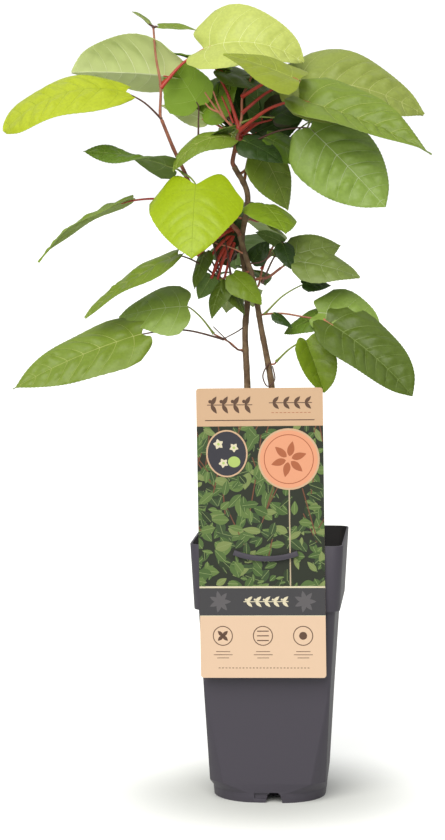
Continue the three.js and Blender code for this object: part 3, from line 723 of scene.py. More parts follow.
# Short stalks and twigs: colour, thickness at both ends and the points of their line
innerTwigs = {
    "leaves_crown_top": [
        ("pink", (2.2, 1.2), [(-33, -4, 576), (-46, -4, 590), (-57, -8, 606)]),
        ("pink", (2.1, 1.2), [(-40, -4, 583), (-46, -5, 596), (-50, -6, 607)]),
        ("red", (2.1, 1.2), [(-33, -4, 580), (-38, -4, 592), (-43, -4, 603)]),
        ("pink", (2.0, 1.1), [(-45, -4, 589), (-52, -5, 592), (-57, -4, 597)]),
    ],
    "leaves_core": [
        ("red", (3.6, 2.2), [(-33, -4, 490), (-46, -14, 482), (-63, -18, 467)]),
        ("red", (3.6, 2.0), [(-33, -4, 487), (-44, -15, 476), (-57, -20, 458)]),
        ("red", (4.2, 2.2), [(-34, -6, 482), (-44, -16, 466), (-50, -22, 448)]),
        ("red", (3.6, 2.0), [(-33, -6, 484), (-40, -15, 466), (-45, -19, 447)]),
        ("red", (3.2, 1.8), [(-32, -6, 478), (-36, -13, 462), (-40, -16, 446)]),
        ("red", (2.8, 1.8), [(-33, -5, 492), (-47, -12, 490), (-58, -16, 478)]),
        ("pink", (1.5, 1.0), [(-22, -7, 468), (-34, -12, 474), (-48, -14, 478)]),
        ("dark", (1.4, 1.0), [(-20, -6, 460), (-8, -8, 462), (2, -8, 470)]),
    ],
    "leaf_right_foot": [
        ("dark", (1.3, 0.9), [(-1, -2, 376), (-6, -3, 390), (-9, -2, 406)]),
        ("dark", (1.3, 1.1), [(-1, -3, 375), (-5, -7, 370), (-7, -8, 363), (-3, -8, 355), (3, -6, 360),
                              (1, -3, 372)]),
    ],
    "leaves_left_low": [
        ("dark", (1.3, 1.0), [(-22, -1, 407), (-29, -2, 402), (-40, -4, 396)]),
        ("dark", (1.2, 0.9), [(-24, -2, 384), (-32, -3, 388), (-40, -4, 396), (-50, -6, 406)]),
    ],
}
for massName, leaves in innerLeaves.items():
    blades[massName].extend(leaves)

# Leaves

# Each look is the colour of a blade's upper side, of its underside and of its veins.
# The dark and umber looks, on leaves inside and behind the crown, are partly the leaves' own tone and partly
# painted shade. The pale, silver and bright looks are partly painted light, for leaves that are strongly lit.
looks = {
    "lime": ("#b0bf22", "#a9b96a", "#97a828"),
    "silver": ("#a6bc61", "#c2cf8a", "#dde4b6"),
    "pale": ("#bcc765", "#b8c77c", "#dfe4ac"),
    "yellow": ("#8c9a26", "#8f9c48", "#b0bc5a"),
    "fresh": ("#9cb30e", "#a2b45c", "#8ca022"),
    "light": ("#7a941a", "#94a858", "#95a848"),
    "leafy": ("#728a1a", "#8a9c58", "#8a9a48"),
    "soft": ("#8b9943", "#98a868", "#c0c482"),
    "mid": ("#768c2c", "#8fa164", "#b0b86e"),
    "clear": ("#8ca648", "#8ea066", "#b8c890"),
    "green": ("#70933a", "#6f8a46", "#a8bb80"),
    "deep": ("#829c42", "#82955c", "#bcc8a0"),
    "grey": ("#75873f", "#76885a", "#a8b48c"),
    "forest": ("#536719", "#566f2e", "#8d9e5e"),
    "moss": ("#5d7a22", "#62792f", "#869a4c"),
    "bright": ("#7a9c26", "#82a232", "#a2bc5c"),
    "umber": ("#3c3a1a", "#463c1a", "#5a5a34"),
    "dark": ("#2c4510", "#36521a", "#516c2c"),
}


def shaded(hexColour, share):
    parts = [int(hexColour[start:start + 2], 16) for start in (1, 3, 5)]
    return "#" + "".join("%02x" % int(part * share) for part in parts)


# A blade is softly glossy above, and dull and paler below and on its veins. The lime and fresh looks have
# veins darker than the blade instead, painted shade of the grooves they lie in.
leafSurface = dict(roughness=(0.45, 0.6, 0.6), shine=(0.4, 0.3, 0.3), relief=(0.3, 0.3, 0), grain=4, detail=4,
                   shade=0.95, patch=2.5)
for lookName, colours in looks.items():
    for i, part in enumerate(("upper", "under", "vein")):
        second = shaded(colours[i], leafSurface["shade"]) if part == "upper" else None
        surface("leaf " + lookName + " " + part, colours[i], leafSurface["roughness"][i], second,
                leafSurface["patch"], leafSurface["grain"], leafSurface["relief"][i], leafSurface["detail"],
                leafSurface["shine"][i])
# Smooth skin of fresh stalks, from red to green
stalkColours = {"red": "#b03a2e", "pink": "#c27a60", "dark": "#54342a", "green": "#7f8f3c"}
for stalkName, colour in stalkColours.items():
    surface("stalk " + stalkName, colour, 0.45)

leafSizes = dict(
    thickness=0.45, edgeShare=0.5, veinSpace=13, pairs=(4, 8), rowsPerVein=6, columns=10, columnPower=0.9,
    sweep=0.36, sweepPower=1.15, sweepStart=0.12, rise=0.34, quilt=0.016, quiltPower=0.8, pucker=0.9,
    outward=(1.7, 0.62), onward=(-0.9, 0.43), tooth=0.4, toothEnd=0.97, dripShare=0.3, dripLength=0.07,
    veinEnd=9, veinWidth=0.12, veinStand=0.2, midrib=(1.7, 0.5), veinTip=0.25, veinFade=0.5,
    standFade=0.5,
)


# A slab between two grids of points that are wide points across
def slabSkin(upper, lower, wide, look):
    count = len(upper)
    last = count // wide - 1
    faces = []
    kinds = []
    for row in range(last):
        for column in range(wide - 1):
            a = row * wide + column
            faces.append((a, a + wide, a + wide + 1, a + 1))
            faces.append((count + a, count + a + 1, count + a + wide + 1, count + a + wide))
            kinds += [look + "upper", look + "under"]
    edge = [row * wide for row in range(last)]
    edge += [last * wide + column for column in range(wide - 1)]
    edge += [row * wide + wide - 1 for row in range(last, 0, -1)]
    edge += list(range(wide - 1, 0, -1))
    for a, b in zip(edge, edge[1:] + edge[:1]):
        faces.append((a, count + a, count + b, b))
        kinds.append(look + "under")
    return np.concatenate([upper, lower]), faces, kinds


# The rows of a fine blade follow its side veins, which sweep towards the tip. The blade bulges
# between them, unevenly, and is toothed at its edge and drawn out at its tip.
def fineBlade(grown):
    sizes = leafSizes
    length = grown["chord"][0]
    fewest, most = sizes["pairs"]
    pairs = min(most, max(fewest, round(length / sizes["veinSpace"])))
    rows = pairs * sizes["rowsPerVein"]
    columns = sizes["columns"]
    wide = 2 * columns + 1
    side = np.arange(-columns, columns + 1) / columns
    s = np.repeat(np.arange(rows + 1) / rows, wide)
    u = np.tile(np.sign(side) * np.abs(side) ** sizes["columnPower"], rows + 1)
    out = np.abs(u)
    sweep = grown.get("sweep", sizes["sweep"]) * out ** sizes["sweepPower"]
    t = s + sweep * (1 - s) * (1 - np.exp(-s / sizes["sweepStart"]))
    power = sizes["quiltPower"]
    between = np.abs(np.sin(np.pi * (s * pairs - 0.5))) ** power
    quilt = grown.get("quilt", sizes["quilt"]) * length * between
    quilt = quilt * np.sin(np.pi * out ** power) * (1 - s ** 4)
    outward = sizes["outward"][0] * out + sizes["outward"][1] * s * pairs + grown["phase"]
    onward = sizes["onward"][0] * u + sizes["onward"][1] * s * pairs + 2 * grown["phase"]
    quilt = quilt * (1 + sizes["pucker"] * (np.sin(2 * np.pi * outward) + np.sin(2 * np.pi * onward)) / 2)
    drip = 1 - sizes["dripShare"] * np.exp(-((1 - t) / sizes["dripLength"]) ** 2)
    outline = outlineAt(t, grown.get("fineFall", grown["fall"]), grown.get("rise", sizes["rise"]))
    odd = np.repeat(np.arange(rows + 1) % 2, wide)
    half = length * grown["width"] / 2
    tooth = sizes["tooth"] / half * odd * (out == 1) * (s < sizes["toothEnd"])
    reach = outline * drip + tooth
    thickness = sizes["thickness"] * np.where((out == 1) | (s == 0) | (s == 1), sizes["edgeShare"], 1)
    upper = onBlade(grown, t, u, quilt + thickness / 2, reach)
    lower = onBlade(grown, t, u, quilt - thickness / 2, reach)
    look = "leaf " + grown["look"] + " "
    centres = (upper + lower) / 2
    normals = (upper - lower) / np.linalg.norm(upper - lower, axis=1)[:, None]
    base = sizes["veinWidth"] * math.sqrt(length)
    midrib = [row * wide + columns for row in range(rows + 1)]
    skins = [slabSkin(upper, lower, wide, look),
             veinSkin(centres, normals, midrib, base * sizes["midrib"][0], base * sizes["midrib"][1], look)]
    for pair in range(pairs):
        row = pair * sizes["rowsPerVein"] + sizes["rowsPerVein"] // 2
        start = base * (1 - sizes["veinFade"] * row / rows)
        for way in (-1, 1):
            places = [midrib[row] + way * step for step in range(sizes["veinEnd"] + 1)]
            skins.append(veinSkin(centres, normals, places, start, base * sizes["veinTip"], look))
    return skins


# A vein is a thin strip of four sides that stands out of both faces of its blade.
def veinSkin(centres, normals, places, wide, narrow, look):
    path = centres[places]
    out = normals[places]
    across = np.cross(out, np.gradient(path, axis=0))
    across /= np.linalg.norm(across, axis=1)[:, None]
    share = np.linspace(0, 1, len(places))[:, None]
    half = across * (wide + (narrow - wide) * share) / 2
    stand = leafSizes["veinStand"] * (1 - leafSizes["standFade"] * share)
    stand = out * (leafSizes["thickness"] / 2 + stand)
    rings = [np.array(ring) for ring in zip(path + half, path + stand, path - half, path - stand)]
    return skinOver(rings, look + "vein")


# Stalks and twigs

# Turns lines with a thickness at each point into round tubes of one material.
def tubesSkin(name, lines, kind):
    edges = []
    start = 0
    for line, _ in lines:
        edges += [(start + i, start + i + 1) for i in range(len(line) - 1)]
        start += len(line)
    mesh = meshFrom(name, np.concatenate([line for line, _ in lines]), [], edges)
    radii = np.concatenate([sizes for _, sizes in lines]) * millimetre
    mesh.attributes.new("halfThickness", "FLOAT", "POINT").data.foreach_set("value", radii)

    def build(tree, entry):
        thickness = addNode(tree, "GeometryNodeInputNamedAttribute", {
            "data_type": "FLOAT", "Name": "halfThickness"})
        curve = addNode(tree, "GeometryNodeMeshToCurve", (), {"Mesh": entry["Geometry"]})
        circle = addNode(tree, "GeometryNodeCurvePrimitiveCircle", {"Radius": 1.0},
                         {"Resolution": entry["Sides"]})
        tube = addNode(tree, "GeometryNodeCurveToMesh", {"Fill Caps": True}, {
            "Curve": curve.outputs["Curve"], "Profile Curve": circle.outputs["Curve"],
            "Scale": thickness.outputs["Attribute"]})
        return tube.outputs["Mesh"]

    return grownSkin(name, mesh, {"Sides": ("NodeSocketInt", stalkSizes["sides"])}, kind, build)


stalkSizes = dict(foot=1.25, tip=0.75, flare=0.5, flareEnd=2.5, points=22, sides=10, thin=0.75,
                  thinLooks=("dark", "green"))
stalkShares = np.linspace(0, 1, stalkSizes["points"])


def stalkLine(grown):
    path = grown["stalk"]
    line = np.array([path.atLength(share) for share in stalkShares])
    thin = grown.get("thick", stalkSizes["thin"] if grown["stalkLook"] in stalkSizes["thinLooks"] else 1)
    sizes = stalkSizes["foot"] * thin * (1 - stalkShares) + stalkSizes["tip"] * min(thin, 1) * stalkShares
    flare = stalkSizes["flare"] * np.exp(-stalkShares * path.length() / stalkSizes["flareEnd"])
    return line, sizes + flare


def twigLine(thickness, points):
    path = SmoothPath(points)
    sizes = (thickness[0] + (thickness[1] - thickness[0]) * stalkShares) / 2
    return np.array([path.at(share) for share in stalkShares]), sizes


# Bark

bark = dict(
    ridge=0.22, ridges=(5, 8, 11, 15), strength=(0.6, 1.4), pitch=(0.02, 0.09), turn=(0, 6.28), wander=2.2,
    swell=0.09, nodeLength=2.4, firstNode=(8, 20), nodeSpace=31, nodeSpread=(0.7, 1.3), ringStep=1.1,
    fewest=4, sides=28, seed=71,
)
youngBark = dict(sides=14, seed=211, depth=0.5)


# A limb with ridges that wind along it, swollen at its nodes
def barkSkin(path, radiusAt, sides, kind, seed, nodes=(), depth=1.0):
    draw = seededNumbers(seed)
    length = path.length()
    count = max(bark["fewest"], int(length / bark["ringStep"]))
    waves = [(turns, draw(*bark["strength"]), draw(*bark["pitch"]), draw(*bark["turn"]), draw(*bark["turn"]))
             for turns in bark["ridges"]]
    swellings = [share * length for share in nodes]
    place = draw(*bark["firstNode"])
    while place < length:
        swellings.append(place)
        place += bark["nodeSpace"] * draw(*bark["nodeSpread"])
    rings = []
    normal = np.array([0.0, 1.0, 0.0])
    angles = np.arange(sides) * 2 * math.pi / sides
    for i in range(count + 1):
        share = i / count
        distance = share * length
        way = path.headingAt(share)
        normal = normal - way * float(normal @ way)
        normal /= np.linalg.norm(normal)
        other = np.cross(way, normal)
        relief = np.zeros(sides)
        for turns, strength, pitch, start, drift in waves:
            wander = start + bark["wander"] * math.sin(distance * pitch + drift)
            relief += strength * np.sin(turns * angles + wander) / len(waves)
        swell = sum(math.exp(-((distance - mark) / bark["nodeLength"]) ** 2) for mark in swellings)
        radius = radiusAt(share) * (1 + bark["swell"] * swell) + bark["ridge"] * depth * relief
        rings.append(path.atLength(share) + np.outer(np.cos(angles) * radius, normal)
                     + np.outer(np.sin(angles) * radius, other))
    return skinOver(rings, kind)


surface("bark grey brown", "#5a4430", 0.8, "#7c664c", 6, 0.8, 0.2)  # dull and corky, with paler streaks
surface("bark red brown", "#7a4636", 0.6, "#9a6048", 5, 0.8, 0.15)  # smoother and warmer, a little glossy
surface("young bark", "#9a5c46", 0.55, "#ab7056", 6, 0.8, 0.1)  # thin and rosy, as the stalks on it
limbKinds = dict.fromkeys(limbs, "bark red brown")
limbKinds.update(stem_left="bark grey brown", stem_right="bark grey brown")
for order, (limbName, shape) in enumerate(limbShapes.items()):
    path = shape["path"]
    if shape["joint"] is not None:
        path = SmoothPath([shape["joint"]] + path.points)
    skin = barkSkin(path, shape["radiusAt"], bark["sides"], limbKinds[limbName], bark["seed"] + order,
                    shape["nodes"])
    makePiece(limbName + "_bark", [skin], 60, [limbName])
print("limbs made")

for order, (massName, mass) in enumerate(masses.items()):
    stem = stems[massName]
    thick, thin = mass["thickness"]
    path = SmoothPath([stem["joint"]] + stem["path"].points)
    skins = [barkSkin(path, lambda share, a=thick, b=thin: (a + (b - a) * share) / 2, youngBark["sides"],
                      "young bark", youngBark["seed"] + order, (), youngBark["depth"])]
    for stalkName in stalkColours:
        lines = [stalkLine(grown) for grown in blades[massName] if grown["stalkLook"] == stalkName]
        lines += [twigLine(*twig[1:]) for twig in innerTwigs.get(massName, []) if twig[0] == stalkName]
        if lines:
            kind = "stalk " + stalkName
            skins.append(tubesSkin(massName + "_" + stalkName, lines, kind))
    makePiece(massName + "_twigs", skins, 60, [massName])
    leafSkins = [skin for grown in blades[massName] for skin in fineBlade(grown)]
    makePiece(massName + "_leaves", leafSkins, 60, [massName])
print("leaves made")

# Pot, soil and card

pot = dict(
    height=225, rimWidth=130, bandFoot=168, bandFootWidth=124, neckWidth=116.5, waist=90, waistWidth=107,
    footTop=17, footWidth=100, footFlat=37.5, footHeart=12, footStep=8, standWidth=98.5, footDraft=1.5,
    wall=1.6, floor=11, bandStep=0.5, rimCorner=9, bandCorner=11, neckCorner=7, waistCorner=2.5,
    standCorner=38, cornerSteps=12, edge=0.45, edgeSteps=2, edgeFrom=28, sharpFrom=30, inwardFrom=0.5,
)
notch = dict(width=15, roofWidth=11, height=9, slope=2, inwardTo=20, centreX=6)
plate = dict(width=12, height=5, depth=1.2, inset=1, centreX=-5, centreZ=6)
hook = dict(span=54, sag=5, thickness=4.2, middleZ=214.3, reach=4.4, root=2.2, steps=24)
over = 1  # how far a cut goes past a face

surface("moulded plastic", "#433f49", 0.5, grain=0.5, relief=0.01, shine=0.4)  # dark grey, with a soft sheen
surface("damp plastic", "#1d1b1e", 0.7)  # painted shade: a darker and duller plastic for the shaded hollow
surface("potting soil", "#2c211a", 0.95, "#3a2c22", 5, 2, 1.2)  # dark, uneven and without a gleam
surface("soil crumb", "#33261d", 0.95, "#46352a", 2)  # grains a little paler than the soil
surface("bark crumb", "#5a4030", 0.85, "#473024", 2)  # brown shreds that stand out of it


# A square ring whose corners are arcs about a heart on the diagonal, and whose sides are flat up
# to a distance from their middle. A level is (height, width, flat, heart).
def squareRing(level, inset=0.0):
    z, width, flat, heart = level
    reach = math.hypot(width / 2 - heart, flat - heart) - inset
    across = width / 2 - inset - heart
    start = math.atan2(math.sqrt(max(0, reach ** 2 - across ** 2)), across)
    angles = start + (math.pi / 2 - 2 * start) * np.arange(pot["cornerSteps"] + 1) / pot["cornerSteps"]
    x = heart + reach * np.cos(angles)
    y = heart + reach * np.sin(angles)
    quarters = [(x, y), (-y, x), (-x, -y), (y, -x)]
    return np.concatenate([np.column_stack([a, b, np.full(len(a), z)]) for a, b in quarters])


def roundLevel(z, width, corner):
    return (z, width, width / 2 - corner, width / 2 - corner)


def potLevels(inset, bottom, top):
    neckAt = pot["bandFoot"] + inset
    levels = [
        roundLevel(0, pot["standWidth"] - pot["footDraft"], pot["standCorner"]),
        roundLevel(pot["footStep"], pot["standWidth"], pot["standCorner"]),
        (pot["footTop"], pot["footWidth"], pot["footFlat"], pot["footHeart"]),
        roundLevel(pot["waist"], pot["waistWidth"], pot["waistCorner"]),
        roundLevel(neckAt, pot["neckWidth"], pot["neckCorner"]),
        roundLevel(neckAt + pot["bandStep"], pot["bandFootWidth"], pot["bandCorner"]),
        roundLevel(pot["height"], pot["rimWidth"], pot["rimCorner"]),
    ]

    def levelAt(z):
        upper = next((i for i, level in enumerate(levels) if level[0] >= z), len(levels) - 1)
        a, b = np.array(levels[max(1, upper) - 1:max(1, upper) + 1], float)
        return a + (b - a) * (z - a[0]) / (b[0] - a[0])

    kept = [level for level in levels if bottom < level[0] < top]
    return [squareRing(level, inset) for level in [levelAt(bottom)] + kept + [levelAt(top)]]


def rawObject(name, rings):
    points, faces, _ = skinOver(rings, "")
    return addObject(name, meshFrom(name, points, faces))


# An outline of (x, z) points, drawn out along Y from front to back
def drawnOut(name, outline, front, back):
    return rawObject(name, [np.array([(x, y, z) for x, z in outline]) for y in (back, front)])


def combine(base, others, operation):
    for other in others:
        modifier = base.modifiers.new("cut", "BOOLEAN")
        modifier.object = other
        modifier.operation = operation
        modifier.solver = "EXACT"
    mesh = finalMesh(base)
    for other in others:
        bpy.data.objects.remove(other)
    return mesh


def notchOutline():
    half = notch["width"] / 2
    roof = notch["roofWidth"] / 2
    top = notch["height"]
    flat = roof - notch["slope"]
    side = top - notch["slope"]
    shape = [(-half, -over), (half, -over), (roof, side), (flat, top), (-flat, top), (-roof, side)]
    return [(notch["centreX"] + x, z) for x, z in shape]


def rectangle(left, low, right, high):
    return [(left, low), (right, low), (right, high), (left, high)]


# The curved lip that the card hangs on: a smile, thicker by a margin all round
def smileOutline(margin):
    steps = hook["steps"]
    radius = (hook["span"] ** 2 / 4 + hook["sag"] ** 2) / (2 * hook["sag"])
    half = math.asin((hook["span"] / 2 + margin) / radius)
    reach = hook["thickness"] / 2 + margin
    centre = hook["middleZ"] + radius
    outline = []
    for way, size in ((1, radius + reach), (-1, radius - reach)):
        for step in range(steps + 1):
            angle = way * half * (2 * step / steps - 1)
            outline.append((size * math.sin(angle), centre - size * math.cos(angle)))
    return outline


rimFront = -pot["rimWidth"] / 2
cardBack = rimFront - clearance
body = rawObject("potBody", potLevels(0, 0, pot["height"]))
cutters = [rawObject("potHollow", potLevels(pot["wall"], pot["floor"], pot["height"] + over))]
for turn in range(4):
    channel = drawnOut("potNotch", notchOutline(), rimFront, -notch["inwardTo"])
    channel.data.transform(Matrix.Rotation(turn * math.pi / 2, 4, "Z"))
    cutters.append(channel)
plateOutline = rectangle(plate["centreX"] - plate["width"] / 2, plate["centreZ"] - plate["height"] / 2,
                         plate["centreX"] + plate["width"] / 2, plate["centreZ"] + plate["height"] / 2)
plateFront = -pot["standWidth"] / 2 + plate["inset"]
cutters.append(drawnOut("potPlate", plateOutline, plateFront - plate["depth"], plateFront + plate["depth"]))
cutPot = addObject("potCut", combine(body, cutters, "DIFFERENCE"))
lip = drawnOut("potLip", smileOutline(0), cardBack - hook["reach"], rimFront + hook["root"])
shaped = addObject("potShaped", combine(cutPot, [lip], "UNION"))
bevel = shaped.modifiers.new("edges", "BEVEL")
bevel.width = pot["edge"] * millimetre
bevel.segments = pot["edgeSteps"]
bevel.limit_method = "ANGLE"
bevel.angle_limit = math.radians(pot["edgeFrom"])
potMesh = finalMesh(shaped)
potMesh.materials.clear()
# The second material is painted shade for the hollow.
for kind in ("moulded plastic", "damp plastic"):
    potMesh.materials.append(bpy.data.materials[kind])
potFaces = len(potMesh.polygons)
centres = np.zeros(3 * potFaces)
normals = centres.copy()
potMesh.polygons.foreach_get("center", centres)
potMesh.polygons.foreach_get("normal", normals)
centres = centres.reshape(-1, 3)
normals = normals.reshape(-1, 3)
# The hollow gets painted shade, a darker and duller plastic, and its faces are those that look to the pot's
# middle.
outward = (centres[:, :2] * normals[:, :2]).sum(1) / np.linalg.norm(centres[:, :2], axis=1)
hollow = (outward < -pot["inwardFrom"]) & (centres[:, 2] > pot["bandFoot"] * millimetre)
potMesh.polygons.foreach_set("material_index", hollow.astype(np.int32))
potMesh.polygons.foreach_set("use_smooth", [True] * potFaces)
potMesh.set_sharp_from_angle(angle=math.radians(pot["sharpFrom"]))
finishPiece("pot_shell", potMesh, ["pot"])
print("pot made:", potFaces, "faces")
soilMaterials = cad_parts["potting_soil"].data.materials
soilMaterials.clear()
soilMaterials.append(bpy.data.materials["potting soil"])

crumbs = dict(
    width=118, corner=7, turn=(6, 6, 6), flat=0.6, narrow=0.8, kinds={
        "smallCrumbs": ("soil crumb", 130000.0, 5, 0.7, 1.7),
        "shreds": ("bark crumb", 14000.0, 6, 1.8, 3.4),
    },
)


# Scatters small stones of one material over the soil's top, so many to a square metre.
def scatterSkin(name, kind, density, seed, low, high):
    outline = squareRing(roundLevel(soilTop, crumbs["width"], crumbs["corner"]))
    mesh = meshFrom(name, outline, [tuple(range(len(outline)))])
    flat = crumbs["flat"]

    def build(tree, entry):
        spots = addNode(tree, "GeometryNodeDistributePointsOnFaces", (), {
            "Mesh": entry["Geometry"], "Density": entry["Density"], "Seed": entry["Seed"]})
        stone = addNode(tree, "GeometryNodeMeshIcoSphere", {"Radius": millimetre, "Subdivisions": 1})
        turn = addNode(tree, "FunctionNodeRandomValue", {
            "data_type": "FLOAT_VECTOR", 0: (0, 0, 0), 1: crumbs["turn"]})
        size = addNode(tree, "FunctionNodeRandomValue", {
            "data_type": "FLOAT_VECTOR", 0: (low, low, low * flat),
            1: (high, high * crumbs["narrow"], high * flat)})
        stones = addNode(tree, "GeometryNodeInstanceOnPoints", (), {
            "Points": spots.outputs["Points"], "Instance": stone.outputs["Mesh"], "Rotation": turn.outputs[0],
            "Scale": size.outputs[0]})
        return stones.outputs["Instances"]

    inputs = {"Density": ("NodeSocketFloat", density), "Seed": ("NodeSocketInt", seed)}
    return grownSkin(name, mesh, inputs, kind, build)


scattered = [scatterSkin(name, *values) for name, values in crumbs["kinds"].items()]
makePiece("soil_crumbs", scattered, 30)
print("soil made")

# The card is a thin sheet, and its print is flat shapes that stand a hair above it.
card = dict(width=106.3, height=246, thickness=0.8, foot=112.2, lean=0.95, centreX=-1.8, corner=2.5,
            cornerSteps=5, printSteps=6, layer=0.012, under=0.05)
printColours = {
    "kraft": "#caa888", "pale kraft": "#dabca1", "dark green": "#262b20", "charcoal": "#3f3e41",
    "cream": "#d6ccb0", "peach": "#dd9a78", "brown": "#5d4436", "rust": "#a8603f", "grey": "#5c595c",
    "lime": "#a9bf6a", "slate": "#35343c", "leaf 1": "#476030", "leaf 2": "#5e753d", "leaf 3": "#394d2c",
    "leaf 4": "#78864f", "leaf 5": "#506836", "leaf 6": "#2c3a22", "vein": "#84945f", "stalk": "#b8a78c",
    "stem": "#6e4632",
}
# Matt ink on card, without relief
for printName, colour in printColours.items():
    surface("card " + printName, colour, 0.5, shine=0.35)
printed = []


def onCard(x, z, depth):
    lean = math.radians(card["lean"])
    return (card["centreX"] + x * math.cos(lean) - z * math.sin(lean), cardBack - depth,
            card["foot"] + x * math.sin(lean) + z * math.cos(lean))


# Lays a flat shape on the card, from its outline as (x, z) from the card's foot, if there is any.
def lay(outline, layer, kind):
    count = len(outline)
    if count < 3:
        return
    area = sum(a[0] * b[1] - b[0] * a[1] for a, b in zip(outline, outline[1:] + outline[:1]))
    if area < 0:
        outline = outline[::-1]
    top = card["thickness"] + card["layer"] * layer
    points = [onCard(x, z, depth) for depth in (card["thickness"] - card["under"], top) for x, z in outline]
    faces = [tuple(range(count, 2 * count)), tuple(range(count))[::-1]]
    faces += [(i, (i + 1) % count, count + (i + 1) % count, count + i) for i in range(count)]
    printed.append((np.array(points), faces, ["card " + kind] * len(faces)))


def ellipse(x, z, wide, tall, steps=40):
    angles = [2 * math.pi * i / steps for i in range(steps)]
    return [(x + wide * math.cos(angle), z + tall * math.sin(angle)) for angle in angles]


def layRing(x, z, radius, width, layer, kind):
    outer = ellipse(x, z, radius, radius)
    inner = ellipse(x, z, radius - width, radius - width)
    for i in range(len(outer)):
        lay([outer[i - 1], outer[i], inner[i], inner[i - 1]], layer, kind)


def layLine(start, end, width, layer, kind):
    a, b = np.array([start, end], float)
    across = np.array([a[1] - b[1], b[0] - a[0]]) / np.linalg.norm(b - a) * width / 2
    lay([tuple(corner) for corner in (a - across, b - across, b + across, a + across)], layer, kind)


leafShape = dict(steps=9, widest=0.8, round=0.9)


def leafOutline(x, z, length, width, turn):
    steps = leafShape["steps"]
    outline = []
    for i in list(range(steps + 1)) + list(range(1 - steps, 0)):
        share = abs(i) / steps
        out = 0
        if 0 < share < 1:
            out = width / 2 * math.sin(math.pi * share ** leafShape["widest"]) ** leafShape["round"]
            out = math.copysign(out, i)
        outline.append((x + length * share * math.cos(turn) - out * math.sin(turn),
                        z + length * share * math.sin(turn) + out * math.cos(turn)))
    return outline


# Keeps what of an outline lies inside a rectangle
def clipped(outline, left, low, right, high):
    for axis, limit, sign in ((0, left, 1), (1, low, 1), (0, right, -1), (1, high, -1)):
        kept = []
        for a, b in zip(outline, outline[1:] + outline[:1]):
            insideA = sign * (a[axis] - limit) >= 0
            insideB = sign * (b[axis] - limit) >= 0
            if insideA:
                kept.append(a)
            if insideA != insideB:
                share = (limit - a[axis]) / (b[axis] - a[axis])
                kept.append((a[0] + (b[0] - a[0]) * share, a[1] + (b[1] - a[1]) * share))
        outline = kept
        if len(outline) < 3:
            return []
    return outline


# Leaves in a ring, each from a foot near the middle, inside a rectangle if one is given
def layPetals(x, z, count, firstTurn, foot, size, layer, kind, layerStep=0.0, within=None):
    for i in range(count):
        turn = firstTurn + i * 2 * math.pi / count
        outline = leafOutline(x + foot * math.cos(turn), z + foot * math.sin(turn), *size, turn)
        lay(clipped(outline, *within) if within else outline, layer + layerStep * i, kind)


def quarterPoints(x, z, radius, firstTurn, steps):
    turns = [math.radians(firstTurn + 90 * i / steps) for i in range(steps + 1)]
    return [(x + radius * math.cos(turn), z + radius * math.sin(turn)) for turn in turns]


def cardOutline():
    low = card["corner"]
    side = card["width"] / 2 - low
    top = card["height"] - low
    corners = ((side, low, -90), (side, top, 0), (-side, top, 90), (-side, low, 180))
    return [point for x, z, turn in corners
            for point in quarterPoints(x, z, low, turn, card["cornerSteps"])]


# The sheet has a slit for the pot's lip.
sheet = rawObject("cardSheet", [np.array([onCard(x, z, depth) for x, z in cardOutline()])
                                for depth in (0, card["thickness"])])
slit = drawnOut("cardSlit", smileOutline(clearance), cardBack - 3 * over, cardBack + over)
sheetMesh = combine(sheet, [slit], "DIFFERENCE")
sheetMesh.materials.clear()
sheetMesh.materials.append(bpy.data.materials["card kraft"])
sheetMesh.polygons.foreach_set("material_index", [0] * len(sheetMesh.polygons))
finishPiece("card_sheet", sheetMesh, ["label_card"])

# The print lies over the sheet, the slit's narrow gap too.
layout = dict(
    half=53.15, bandLow=53.4, bandHigh=76.8, bandMiddle=65.2, panelLow=78.4, panelHigh=214, footGap=0.4,
    bandRim=0.6, ruleAt=219, ruleHalf=46, rule=0.8,
)
half = layout["half"]
inner = half - card["corner"]
band = (-half, layout["bandLow"], half, layout["bandHigh"])
panel = (-half, layout["panelLow"], half, layout["panelHigh"])
footTop = layout["bandLow"] - layout["footGap"]
footShape = quarterPoints(-inner, card["corner"], card["corner"], 180, card["printSteps"])
footShape += quarterPoints(inner, card["corner"], card["corner"], -90, card["printSteps"])
footShape += [(half, footTop), (-half, footTop)]
lay(footShape, 1, "pale kraft")
lay(rectangle(*panel), 1, "dark green")
lay(rectangle(*band), 1, "charcoal")
lay(rectangle(-half, layout["bandHigh"], half, layout["panelLow"]), 2, "cream")
lay(rectangle(-half, layout["bandLow"] - layout["bandRim"], half, layout["bandLow"]), 2, "cream")
layLine((-layout["ruleHalf"], layout["ruleAt"]), (layout["ruleHalf"], layout["ruleAt"]), layout["rule"],
        2, "brown")

# A sprig runs from left to right at a height. It has leaves in pairs, with berries between them.
sprigs = dict(
    line=0.7, pairSpace=1.05, firstPair=0.35, leafWidth=0.42, berryBack=0.1, berryRise=1.9, berrySteps=16,
    rows=[(-44, -6, 232, 8.6, 1.0, 1.5, "brown"), (8, 44, 233.5, 7.4, 0.8, 0, "brown"),
          (-16, 22, layout["bandMiddle"], 6.6, 0.75, 0.9, "cream")],
)
for left, right, z, long, lean, berry, kind in sprigs["rows"]:
    layLine((left, z), (right, z), sprigs["line"], 3, kind)
    pairs = int((right - left) / (long * sprigs["pairSpace"]))
    for i in range(pairs):
        x = left + (right - left) * (i + sprigs["firstPair"]) / pairs
        for way in (lean, -lean):
            lay(leafOutline(x, z, long, long * sprigs["leafWidth"], way), 4, kind)
        if berry:
            place = (x - long * sprigs["berryBack"], z + berry * sprigs["berryRise"])
            lay(ellipse(*place, berry, berry, sprigs["berrySteps"]), 5, kind)
# Rows of dashes: start, end, step, height, length, width and colour
for start, end, step, z, long, width, kind in ((10, 44, 3.4, 225.2, 2.2, 0.5, "rust"),
                                               (-38, 38, 2.9, 8.5, 1.6, 0.6, "brown")):
    for x in np.arange(start, end, step):
        layLine((x, z), (x + long, z), width, 2, kind)

